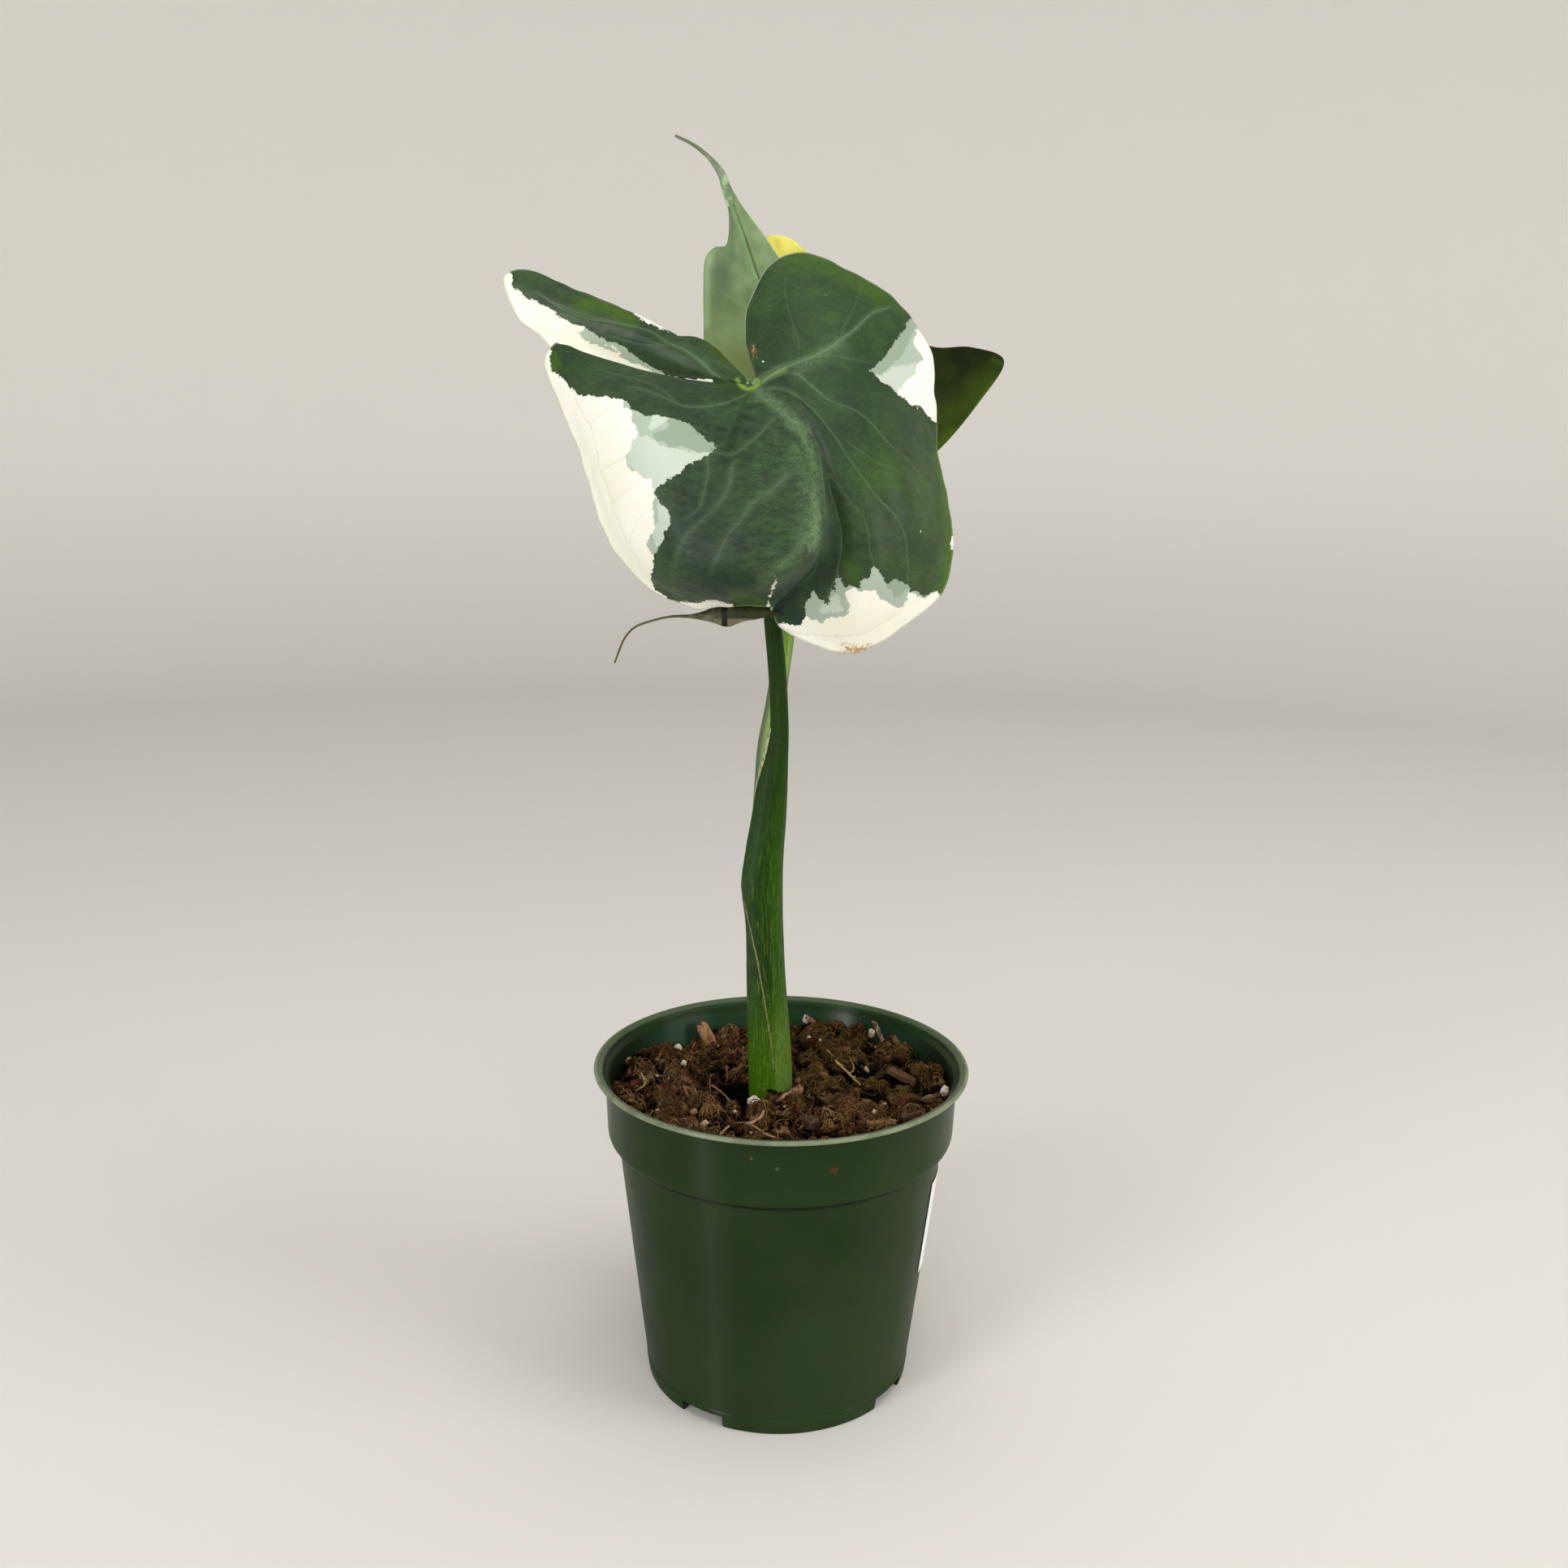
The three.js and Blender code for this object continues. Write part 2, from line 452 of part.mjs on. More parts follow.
function soilBody() {
  const inner = (r) => r - pot.wall - gap - 0.05;
  const edgeRadius = inner(pot.bandTopRadius) - 0.2;
  const profile = [[0, pot.floorTop + gap + 0.05], [inner(pot.baseRadius) + 0.3, pot.floorTop + gap + 0.05]];
  profile.push([inner(pot.bodyTopRadius), pot.bodyTop - 0.4]);
  profile.push([inner(pot.bandRadius) - 1.1, pot.bodyTop + 1.2]);
  profile.push([inner(pot.bandRadius) - 0.1, pot.bodyTop + 3]);
  const firstTop = profile.length;
  for (let i = 0; i <= soil.rings; i += 1) profile.push([edgeRadius * (1 - i / soil.rings), soil.level]);
  const geometry = revolve(profile, pot.sides);
  const position = geometry.attributes.position;
  for (let i = 0; i < position.count; i += 1) {
    if (i % profile.length < firstTop) continue;
    position.setZ(i, soilHeight(position.getX(i), position.getY(i)));
  }
  let whole = toSolid(geometry);
  const random = seededRandom(soil.seed);
  for (let i = 0; i < soil.crumbs; i += 1) {
    const r = (edgeRadius - 5.5) * Math.sqrt(0.05 + 0.95 * random());
    const a = random() * 2 * Math.PI;
    const x = r * Math.cos(a);
    const y = r * Math.sin(a);
    const size = 1.1 + random() * 1.1;
    const crumb = crumbGeometry(random, size).translate(x, y, soilHeight(x, y) + 0.1 * size);
    whole = whole.add(toSolid(crumb));
  }
  return whole;
}

// Loose pieces on the mix: each sits part sunk in a pocket of its own
const looseBits = {
  wood_chip_left: { kind: 'wood', at: [-23, 38, 84.9], size: [3.8, 3, 11], turn: [4, -27, 0] },
  wood_chip_right: { kind: 'wood', at: [29.9, 34.5, 88.4], size: [1.6, 1.4, 9.4], turn: [0, -25, 0] },
  bark_piece: { kind: 'wood', at: [35.2, 4.8, 86.6], size: [10.5, 3, 2.2], turn: [0, 22, -12] },
  orange_chip: { kind: 'wood', at: [4.5, -4.5, 85.8], size: [4.4, 2.4, 2], turn: [10, -24, 24] },
  front_chip: { kind: 'wood', at: [8.5, -28, 86.4], size: [5.2, 3, 2.6], turn: [8, 6, 12] },
  straw_twig: { kind: 'straw', at: [16.6, 12, 87.6], size: [11, 1.1, 1.1], turn: [0, 14, -58] },
  perlite_1: { kind: 'perlite', at: [-31.6, 30.4, 83.4], size: [2.5, 2.3, 2.8], turn: [0, 20, 0] },
  perlite_2: { kind: 'perlite', at: [7.3, 45.6, 87.4], size: [2, 2, 4.4], turn: [0, 0, 0] },
  perlite_3: { kind: 'perlite', at: [46.3, -5.5, 87], size: [2.2, 2.2, 3.6], turn: [0, 0, 0] },
  perlite_4: { kind: 'perlite', at: [-7.4, -8.4, 84.5], size: [3.8, 2.9, 2.9], turn: [0, 10, 20] },
  perlite_5: { kind: 'perlite', at: [-28.6, 12.5, 86.4], size: [1.6, 1.5, 2.6], turn: [0, 0, 30] },
};

function looseBitGeometry(bit, grow = 0) {
  const grain = () => new THREE.IcosahedronGeometry(0.5, 1);
  const sliver = () => new THREE.BoxGeometry(1, 1, 1, 3, 1, 1);
  const shape = bit.kind === 'perlite' ? grain() : sliver();
  const position = shape.attributes.position;
  for (let i = 0; i < position.count; i += 1) {
    const p = new THREE.Vector3().fromBufferAttribute(position, i);
    const wobble = latticeValue(Math.round(p.x * 97), Math.round(p.y * 61 + p.z * 43));
    p.multiplyScalar(bit.kind === 'straw' ? 1 : 0.86 + 0.14 * wobble);
    position.setXYZ(i, p.x, p.y, p.z);
  }
  shape.scale(bit.size[0] + grow, bit.size[1] + grow, bit.size[2] + grow);
  const [rx, ry, rz] = bit.turn.map(THREE.MathUtils.degToRad);
  return shape.rotateX(rx).rotateY(ry).rotateZ(rz).translate(...bit.at);
}

// Assembly
const group = new THREE.Group();

function addPart(name, geometry, material) {
  const mesh = new THREE.Mesh(geometry, material);
  mesh.name = name;
  group.add(mesh);
}

addPart('pot', toGeometry(potSolid()), materials.potGreen);
addPart('pot_label', labelGeometry(), materials.paper);

const inner = toSolid(taperedTube(innerPetiole, petiole.sides, petiole.innerSteps));
const innerClearance = toSolid(taperedTube(innerPetiole, petiole.sides, petiole.innerSteps, gap));
const outer = toSolid(taperedTube(outerPetiole, petiole.sides, petiole.outerSteps));
const outerClearance = toSolid(taperedTube(outerPetiole, petiole.sides, petiole.outerSteps, gap));
const outerStem = largestBody(outer.subtract(innerClearance).subtract(leafClearance(frontLeaf)));
const innerStem = largestBody(inner.subtract(leafClearance(backLeaf)));
addPart('petiole_front', toGeometry(outerStem), materials.stemGreen);
addPart('petiole_back', toGeometry(innerStem), materials.youngStem);
addPart('leaf_front', toGeometry(leafSolid(frontLeaf, frontTail)), materials.leafGreen);
addPart('leaf_back', toGeometry(leafSolid(backLeaf, backTail)), materials.underGreen);
addPart('corm_with_roots', toGeometry(cormSolid()), materials.cormSkin);

let mix = soilBody().subtract(cormSolid(gap)).subtract(outerClearance);
for (const [name, bit] of Object.entries(looseBits)) {
  const solid = toSolid(looseBitGeometry(bit)).subtract(outerClearance);
  mix = mix.subtract(toSolid(looseBitGeometry(bit, 2 * gap)));
  addPart(name, toGeometry(solid), materials[bit.kind]);
}
addPart('potting_mix', toGeometry(largestBody(mix)), materials.soilBrown);

export default group;
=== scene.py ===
import math
import random

import bmesh
import bpy
import numpy as np
from mathutils import Matrix, Vector, noise


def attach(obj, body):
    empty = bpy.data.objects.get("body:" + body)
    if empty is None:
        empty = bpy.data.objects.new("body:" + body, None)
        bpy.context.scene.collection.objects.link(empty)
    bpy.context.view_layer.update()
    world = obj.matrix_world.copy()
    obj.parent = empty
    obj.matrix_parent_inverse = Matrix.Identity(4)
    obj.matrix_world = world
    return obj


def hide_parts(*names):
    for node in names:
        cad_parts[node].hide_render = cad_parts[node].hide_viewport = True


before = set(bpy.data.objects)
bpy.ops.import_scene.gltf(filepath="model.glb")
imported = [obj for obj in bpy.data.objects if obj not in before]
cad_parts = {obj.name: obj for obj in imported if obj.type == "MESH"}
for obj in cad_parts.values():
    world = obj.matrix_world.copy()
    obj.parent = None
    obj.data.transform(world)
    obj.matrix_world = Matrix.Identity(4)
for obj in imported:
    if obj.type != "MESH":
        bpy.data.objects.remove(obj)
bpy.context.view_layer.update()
mm, noiseSeed, fullTurn = 0.001, 11, 6.28
noise.seed_set(noiseSeed)
print("frame loaded with", len(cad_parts), "nodes")

# Camera. Places are in millimetres, and marks on the leaves are in pixels of the 1932 square photograph.
shot = {
    "place": (-0.4, -403.2, 261.5), "focal": 1860.0, "pitch": 12.27, "roll": 0.86, "side": 1932,
    "sensor": 36.0, "clip": (0.01, 50),
}


def cameraTurn():
    tilt = Matrix.Rotation(math.radians(90 - shot["pitch"]), 4, "X")
    return tilt @ Matrix.Rotation(math.radians(shot["roll"]), 4, "Z")


def makeCamera():
    data = bpy.data.cameras.new("camera")
    data.sensor_width = shot["sensor"]
    data.lens = shot["sensor"] * shot["focal"] / shot["side"]
    data.clip_start, data.clip_end = shot["clip"]
    camera = bpy.data.objects.new("camera", data)
    bpy.context.scene.collection.objects.link(camera)
    camera.matrix_world = Matrix.Translation(Vector(shot["place"]) * mm) @ cameraTurn()
    bpy.context.scene.camera = camera


cameraAxes = np.array(cameraTurn().to_3x3())


def toPhoto(points):
    # millimetres to pixels, and the distance in front of the camera
    local = (points - np.array(shot["place"])) @ cameraAxes
    depth = -local[:, 2]
    pixels = np.stack([local[:, 0], -local[:, 1]], 1) / depth[:, None] * shot["focal"]
    return pixels + shot["side"] / 2, depth


def rayThrough(pixels):
    # directions from the camera through pixels
    flat = (np.asarray(pixels, float) - shot["side"] / 2) / shot["focal"]
    return np.column_stack([flat[:, 0], -flat[:, 1], -np.ones(len(flat))]) @ cameraAxes.T


makeCamera()
print("camera placed")


# Curves and distances
def catmullRom(points, shares):
    points = np.asarray(points, float)
    ends = np.vstack([2 * points[:1] - points[1:2], points, 2 * points[-1:] - points[-2:-1]])
    place = np.clip(shares, 0, 1) * (len(points) - 1)
    i = np.minimum(place.astype(int), len(points) - 2)
    t = (place - i)[:, None]
    a, b, c, d = ends[i], ends[i + 1], ends[i + 2], ends[i + 3]
    return 0.5 * (2 * b + (c - a) * t + (2 * a - 5 * b + 4 * c - d) * t**2 + (3 * b - 3 * c + d - a) * t**3)


def smoothPath(points, step):
    # a path through points with a place about every step
    points = np.asarray(points, float)
    length = np.linalg.norm(np.diff(points, axis=0), axis=1).sum()
    return catmullRom(points, np.linspace(0, 1, max(3, int(length / step) + 1)))


def lineDistance(points, path):
    # distance from each point to the path, and how far along the path the nearest place is
    best, where = np.full(len(points), 1e9), np.zeros(len(points))
    for k in range(len(path) - 1):
        side = path[k + 1] - path[k]
        share = np.clip((points - path[k]) @ side / max(side @ side, 1e-12), 0, 1)
        far = np.linalg.norm(points - path[k] - share[:, None] * side, axis=1)
        near = far < best
        best[near], where[near] = far[near], (k + share[near]) / (len(path) - 1)
    return best, where


def insideDistance(points, outline):
    # distance to a closed outline, positive inside it
    outline = np.asarray(outline, float)
    far, _ = lineDistance(points, np.vstack([outline, outline[:1]]))
    inside = np.zeros(len(points), bool)
    for (ax, ay), (bx, by) in zip(outline, np.roll(outline, -1, axis=0)):
        if ay != by:
            crosses = (ay > points[:, 1]) != (by > points[:, 1])
            inside ^= crosses & (points[:, 0] < (bx - ax) * (points[:, 1] - ay) / (by - ay) + ax)
    return np.where(inside, far, -far)


def smoothStep(low, high, values):
    t = np.clip((values - low) / (high - low), 0, 1)
    return t * t * (3 - 2 * t)


# Pieces
def linkObject(name, data):
    item = bpy.data.objects.new(name, data)
    bpy.context.scene.collection.objects.link(item)
    return item


def linkPiece(name, mesh, material, replaces=()):
    piece = linkObject(name, mesh)
    mesh.materials.append(material)
    mesh.shade_smooth()
    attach(piece, "root")
    if replaces:
        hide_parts(*replaces)
    return piece


def setAttribute(mesh, name, values):
    values = np.asarray(values, np.float32)
    kind, key = ("FLOAT_VECTOR", "vector") if values.ndim == 2 else ("FLOAT", "value")
    mesh.attributes.new(name, kind, "POINT").data.foreach_set(key, values.ravel())


def gridMesh(name, places, attributes=None, weld=1e-6, flip=False):
    # a grid drawn over places of shape (columns + 1, rows + 1, 3), in millimetres
    columns, rows = places.shape[0] - 1, places.shape[1] - 1
    bm = bmesh.new()
    bmesh.ops.create_grid(bm, x_segments=columns, y_segments=rows, size=0.5)
    if flip:
        bmesh.ops.reverse_faces(bm, faces=bm.faces)
    mesh = bpy.data.meshes.new(name)
    bm.to_mesh(mesh)
    flat = np.zeros(len(mesh.vertices) * 3)
    mesh.vertices.foreach_get("co", flat)
    i, j = np.rint((flat.reshape(-1, 3)[:, :2] + 0.5) * (columns, rows)).astype(int).T
    mesh.vertices.foreach_set("co", (places[i, j] * mm).ravel())
    for key, values in (attributes or {}).items():
        setAttribute(mesh, key, values[i, j])
    bm.clear()
    bm.from_mesh(mesh)
    bmesh.ops.remove_doubles(bm, verts=bm.verts, dist=weld)
    bmesh.ops.dissolve_degenerate(bm, dist=weld / 2, edges=bm.edges)
    bm.to_mesh(mesh)
    bm.free()
    return mesh


def meshFrom(bm, name):
    mesh = bpy.data.meshes.new(name)
    bm.to_mesh(mesh)
    bm.free()
    return mesh


def closeEnds(mesh):
    bm = bmesh.new()
    bm.from_mesh(mesh)
    bmesh.ops.holes_fill(bm, edges=[e for e in bm.edges if e.is_boundary], sides=0)
    bmesh.ops.recalc_face_normals(bm, faces=bm.faces)
    bm.to_mesh(mesh)
    bm.free()


def thicken(piece, thickness, *otherMaterials):
    # a wall for a sheet, whose under face and rim may have materials of their own
    wall = piece.modifiers.new("thickness", "SOLIDIFY")
    wall.thickness = thickness * mm
    wall.offset = 0
    wall.use_even_offset = False
    for offset, material in zip(("material_offset", "material_offset_rim"), otherMaterials):
        setattr(wall, offset, len(piece.data.materials))
        piece.data.materials.append(material)


def revolve(profile, steps, unit=mm):
    # a profile of radius and height, spun round the upright axis
    bm = bmesh.new()
    verts = [bm.verts.new((radius * unit, 0, height * unit)) for radius, height in profile]
    edges = [bm.edges.new(pair) for pair in zip(verts, verts[1:])]
    bmesh.ops.spin(bm, geom=verts + edges, cent=(0, 0, 0), axis=(0, 0, 1), angle=2 * math.pi, steps=steps,
                   use_merge=True)
    bmesh.ops.remove_doubles(bm, verts=bm.verts, dist=1e-6)
    bmesh.ops.dissolve_degenerate(bm, dist=1e-7, edges=bm.edges)
    return bm


def tubePlaces(sections, sides, steps, bump=None, level=(1, 0, 0)):
    # rings round a path of sections [x, y, z, half side, half depth], whose side axis follows the level one
    shares = np.linspace(0, 1, steps + 1)
    track = catmullRom(sections, shares)
    centre, half = track[:, :3], track[:, 3:]
    along = np.gradient(centre, axis=0)
    along /= np.linalg.norm(along, axis=1)[:, None]
    deep = np.cross(along, level)
    deep /= np.linalg.norm(deep, axis=1)[:, None]
    side = np.cross(deep, along)
    turn = np.linspace(0, 2 * math.pi, sides + 1)[:, None]
    if bump is not None:
        half = half[None] + bump(turn, centre[None, :, 2])[:, :, None]
    ring = np.cos(turn)[..., None] * side * half[..., 0:1] + np.sin(turn)[..., None] * deep * half[..., 1:2]
    wrap = np.stack(np.broadcast_arrays(np.cos(turn), np.sin(turn), centre[None, :, 2]), 2)
    return centre + ring, wrap


# Node trees
def addNode(tree, kind, inputs=None, **settings):
    node = tree.nodes.new("ShaderNode" + kind)
    for key, value in settings.items():
        setattr(node, key, value)
    for key, value in (inputs or {}).items():
        if isinstance(value, bpy.types.NodeSocket):
            tree.links.new(value, node.inputs[key])
        else:
            node.inputs[key].default_value = value
    return node


def calc(tree, operation, *values):
    return addNode(tree, "Math", dict(enumerate(values)), operation=operation).outputs[0]


def times(tree, *values):
    product = values[0]
    for value in values[1:]:
        product = calc(tree, "MULTIPLY", product, value)
    return product


def plus(tree, first, second):
    return calc(tree, "ADD", first, second)


def minus(tree, first, second):
    return calc(tree, "SUBTRACT", first, second)


def split(tree, vector):
    return addNode(tree, "SeparateXYZ", {0: vector}).outputs


def ramp(tree, value, low, high, start=0.0, end=1.0):
    # a smooth step from start to end while value goes from low to high
    inputs = {0: value, 1: low, 2: high, 3: start, 4: end}
    return addNode(tree, "MapRange", inputs, interpolation_type="SMOOTHSTEP").outputs[0]


def mixColour(tree, share, first, second, blend="MIX"):
    node = addNode(tree, "Mix", {0: share, 6: first, 7: second}, data_type="RGBA", blend_type=blend)
    return node.outputs[2]


def paint(tree, tone, *layers):
    # each layer is a share and the colour that is laid over what is there
    for share, over in layers:
        tone = mixColour(tree, share, tone, over)
    return tone


def shadeBy(tree, tone, factor):
    # the tone made darker or lighter by a factor about one
    grey = addNode(tree, "CombineColor", {0: factor, 1: factor, 2: factor}).outputs[0]
    return mixColour(tree, 1.0, tone, grey, "MULTIPLY")


def attribute(tree, name, output="Fac"):
    return addNode(tree, "Attribute", attribute_name=name).outputs[output]


def mark(tree, name, strength):
    return times(tree, attribute(tree, name), strength)


def grain(tree, position, scale, detail=4.0, rough=0.55, warp=0.0):
    inputs = {"Vector": position, "Scale": scale, "Detail": detail, "Roughness": rough, "Distortion": warp}
    return addNode(tree, "TexNoise", inputs).outputs[0]


def stretch(tree, position, scale):
    return addNode(tree, "Mapping", {"Vector": position, "Scale": scale}).outputs[0]


def colour(red, green, blue):
    # an 8-bit screen colour as the shader's linear colour
    def linear(c):
        c /= 255
        return c / 12.92 if c <= 0.04045 else ((c + 0.055) / 1.055) ** 2.4
    return (linear(red), linear(green), linear(blue), 1.0)


def palette(**tones):
    return {name: colour(*tone) for name, tone in tones.items()}


socketKinds = {1: "NodeSocketFloat", 3: "NodeSocketVector", 4: "NodeSocketColor"}


def makeGroup(name, build, output, outputSize=1, **inputs):
    # a socket's kind follows from its size: one number, a vector or a colour
    tree = bpy.data.node_groups.new(name, "ShaderNodeTree")
    for title, value in inputs.items():
        kind = socketKinds[np.size(value)]
        tree.interface.new_socket(title, in_out="INPUT", socket_type=kind).default_value = value
    tree.interface.new_socket(output, in_out="OUTPUT", socket_type=socketKinds[outputSize])
    start = tree.nodes.new("NodeGroupInput")
    end = tree.nodes.new("NodeGroupOutput")
    tree.links.new(build(tree, start.outputs), end.inputs[output])
    return tree


def useGroup(tree, group, **inputs):
    return addNode(tree, "Group", inputs, node_tree=group).outputs[0]


def makeMaterial(name, build, **settings):
    material = bpy.data.materials.new(name)
    material.use_nodes = True
    tree = material.node_tree
    surface = tree.nodes["Principled BSDF"]
    position = addNode(tree, "TexCoord").outputs["Object"]
    for title, socket in build(tree, position).items():
        tree.links.new(socket, surface.inputs[title])
    for title, value in settings.items():
        surface.inputs[title.replace("_", " ")].default_value = value
    return material


def bumpFrom(tree, height, distance, strength=1.0):
    return addNode(tree, "Bump", {"Height": height, "Distance": distance, "Strength": strength}).outputs[0]


def buildSectorEdge(tree, given):
    # the torn edge of a colour sector: a signed distance in millimetres, made ragged by two sizes of noise
    coarse = minus(tree, grain(tree, given["Position"], 620.0, 2.0), 0.5)
    fine = minus(tree, grain(tree, given["Position"], 1900.0, 2.0), 0.5)
    ragged = times(tree, plus(tree, coarse, times(tree, fine, 0.6)), given["Ragged"])
    shifted = plus(tree, given["Distance"], ragged)
    return ramp(tree, shifted, times(tree, given["Soft"], -1.0), given["Soft"])


def buildBlotches(tree, given):
    # soft blotches between two colours
    share = ramp(tree, grain(tree, given["Position"], given["Scale"], 3.0, 0.6), 0.38, 0.64)
    return mixColour(tree, share, given["First"], given["Second"])


def buildStripes(tree, given):
    # fine stripes that run along a stem, from cosine, sine and height
    bands = grain(tree, stretch(tree, given["Wrap"], (1.0, 1.0, 0.012)), given["Count"], 3.0, 0.7)
    return ramp(tree, bands, 0.36, 0.66)


def buildVeinLine(tree, given):
    # fine lines where a signed distance passes zero, from three channels
    line = 0.0
    for side, mask in zip(split(tree, given["Side"]), split(tree, given["Mask"])):
        near = ramp(tree, calc(tree, "ABSOLUTE", side), 1.3, 0.3)
        line = calc(tree, "MAXIMUM", line, times(tree, near, mask))
    return line


def buildThreads(tree, given):
    # thin winding lines, like fibres that lie on the surface
    lines = []
    for scale in (1.0, 1.8):
        wave = grain(tree, given["Position"], times(tree, given["Scale"], scale), 2.0, 0.5, 2.0)
        lines.append(calc(tree, "ABSOLUTE", minus(tree, wave, 0.5)))
    return ramp(tree, calc(tree, "MINIMUM", *lines), 0.035, 0.008)


nowhere, black, white = (0, 0, 0), (0, 0, 0, 1), (1, 1, 1, 1)
sectorEdge = makeGroup("sectorEdge", buildSectorEdge, "Mask", Distance=0.0, Position=nowhere, Ragged=1.0,
                       Soft=0.08)
blotches = makeGroup("blotches", buildBlotches, "Color", 4, Position=nowhere, Scale=60.0, First=black,
                     Second=white)
stemStripes = makeGroup("stemStripes", buildStripes, "Share", Wrap=nowhere, Count=6.0)
veinLine = makeGroup("veinLine", buildVeinLine, "Line", Side=(9, 9, 9), Mask=nowhere)
threads = makeGroup("threads", buildThreads, "Mask", Position=nowhere, Scale=300.0)


def blotched(tree, position, scale, first, second):
    return useGroup(tree, blotches, Position=position, Scale=scale, First=first, Second=second)


print("shader groups made")

# Front leaf. A spoke has three places in millimetres, from near the petiole out to the margin.
frontLeaf = {
    "junction": (-10, -14, 278.5), "perSpoke": 14, "rows": 84, "thickness": 0.6,
    "pixelsPerMillimetre": 4.9, "relief": {"size": 9, "swell": 0.35, "sink": 0.28},
    "roll": {"left": 1.5, "right": 1.0, "all": 0.25, "from": 0.84},
    "ruffle": {"depth": 0.5, "size": 5, "from": 0.8},
    "spokes": {
        "sinusLeft": [(-11, -14, 278.5), (-12, -13, 279.5), (-13, -12, 280)],
        "flapInner": [(-12.5, -13, 281), (-15.5, -10, 283.5), (-18.5, -7, 287)],
        "flapTop1": [(-15, -13, 282.5), (-19, -8, 286.5), (-24, -3, 290.5)],
        "flapTop2": [(-18, -13, 283.5), (-26, -6, 289), (-33.5, 0, 292)],
        "flapTop3": [(-20, -13, 284), (-32, -5, 292), (-44, 2, 298)],
        "flapTop4": [(-21.5, -13, 284), (-39.5, -5, 293.5), (-57, 3, 303)],
        "lobeTop": [(-23, -13, 284), (-45, -5, 294.5), (-68, 4, 307)],
        "lobeTip": [(-23.5, -13, 283.5), (-46.5, -5, 292.5), (-74.5, 3, 305)],
        "lobeLow1": [(-24, -13, 282), (-46.5, -4, 288.5), (-70.5, 1, 295)],
        "lobeLow2": [(-24, -12, 280.5), (-45, -2, 285), (-65, -1, 291.5)],
        "valley": [(-23, -14, 279), (-42, -6, 280.5), (-60.5, -6, 287)],
        "crest": [(-21.5, -21, 278.5), (-39, -27, 281.5), (-58.5, -16, 288)],
        "crestLow": [(-20.5, -25, 276), (-39.5, -32, 276.5), (-61, -18, 282.5)],
        "left1": [(-20, -27, 272.5), (-37, -36, 267.5), (-56, -20, 268.5)],
        "left2": [(-18.5, -29, 268.5), (-33, -41, 257), (-51.5, -22, 255)],
        "left3": [(-16, -32, 264.5), (-27, -46, 246), (-46, -25, 239.5)],
        "left4": [(-13, -36, 262.5), (-21, -49, 239), (-35, -29, 228)],
        "bottomLeft": [(-9, -38, 261.5), (-10.5, -51, 236.5), (-24, -31, 224)],
        "byMidrib": [(-4.5, -36, 263), (0.5, -50, 237.5), (-13.5, -31, 225)],
        "bulge": [(-0.5, -30, 266.8), (7.5, -46, 242), (-4.5, -31, 225)],
        "midrib": [(1.2, -26.6, 269.2), (7.5, -36, 241.5), (-4, -26, 223)],
        "byMidribRight": [(3, -25.6, 270.6), (11.5, -33, 240.5), (-1.5, -24, 219)],
        "bottomRight1": [(5.5, -27, 270), (16.5, -34, 237), (8, -24, 214)],
        "bottomRight2": [(7.5, -27, 269), (21.5, -33, 238.5), (17.5, -21, 212)],
        "bottomRight3": [(9, -26, 269.5), (25, -30, 242), (29, -16, 217.5)],
        "right1": [(9.5, -25, 271), (27, -28, 249), (40.5, -9, 227.5)],
        "right2": [(9, -24, 273.5), (26, -25, 258.5), (42.5, -4, 244)],
        "right3": [(7.5, -22, 276.5), (23.5, -20, 269), (38.5, -1, 262.5)],
        "right4": [(6.5, -20, 280), (21, -16, 278.5), (37.5, 3, 277)],
        "right5": [(5, -18, 282.5), (18, -12, 287), (36, 6, 289.5)],
        "top1": [(2.5, -17, 284), (13.5, -9, 294), (27, 9, 301.5)],
        "top2": [(-0.5, -16, 285), (7.5, -7, 298.5), (13.5, 10, 309.5)],
        "top3": [(-3.5, -15, 285), (0.5, -6, 299.5), (2.5, 9, 313)],
        "top4": [(-6, -14, 284.5), (-5.5, -6, 296.5), (-5.5, 6, 310)],
        "innerEdge": [(-7.5, -14, 283), (-9, -8, 291.5), (-11, 1, 300.5)],
        "innerLow": [(-8.5, -14, 281.5), (-9.5, -11, 285.5), (-12, -5, 291)],
        "sinusRight": [(-9, -14, 279), (-9, -13, 280.5), (-9, -12, 282)],
    },
}
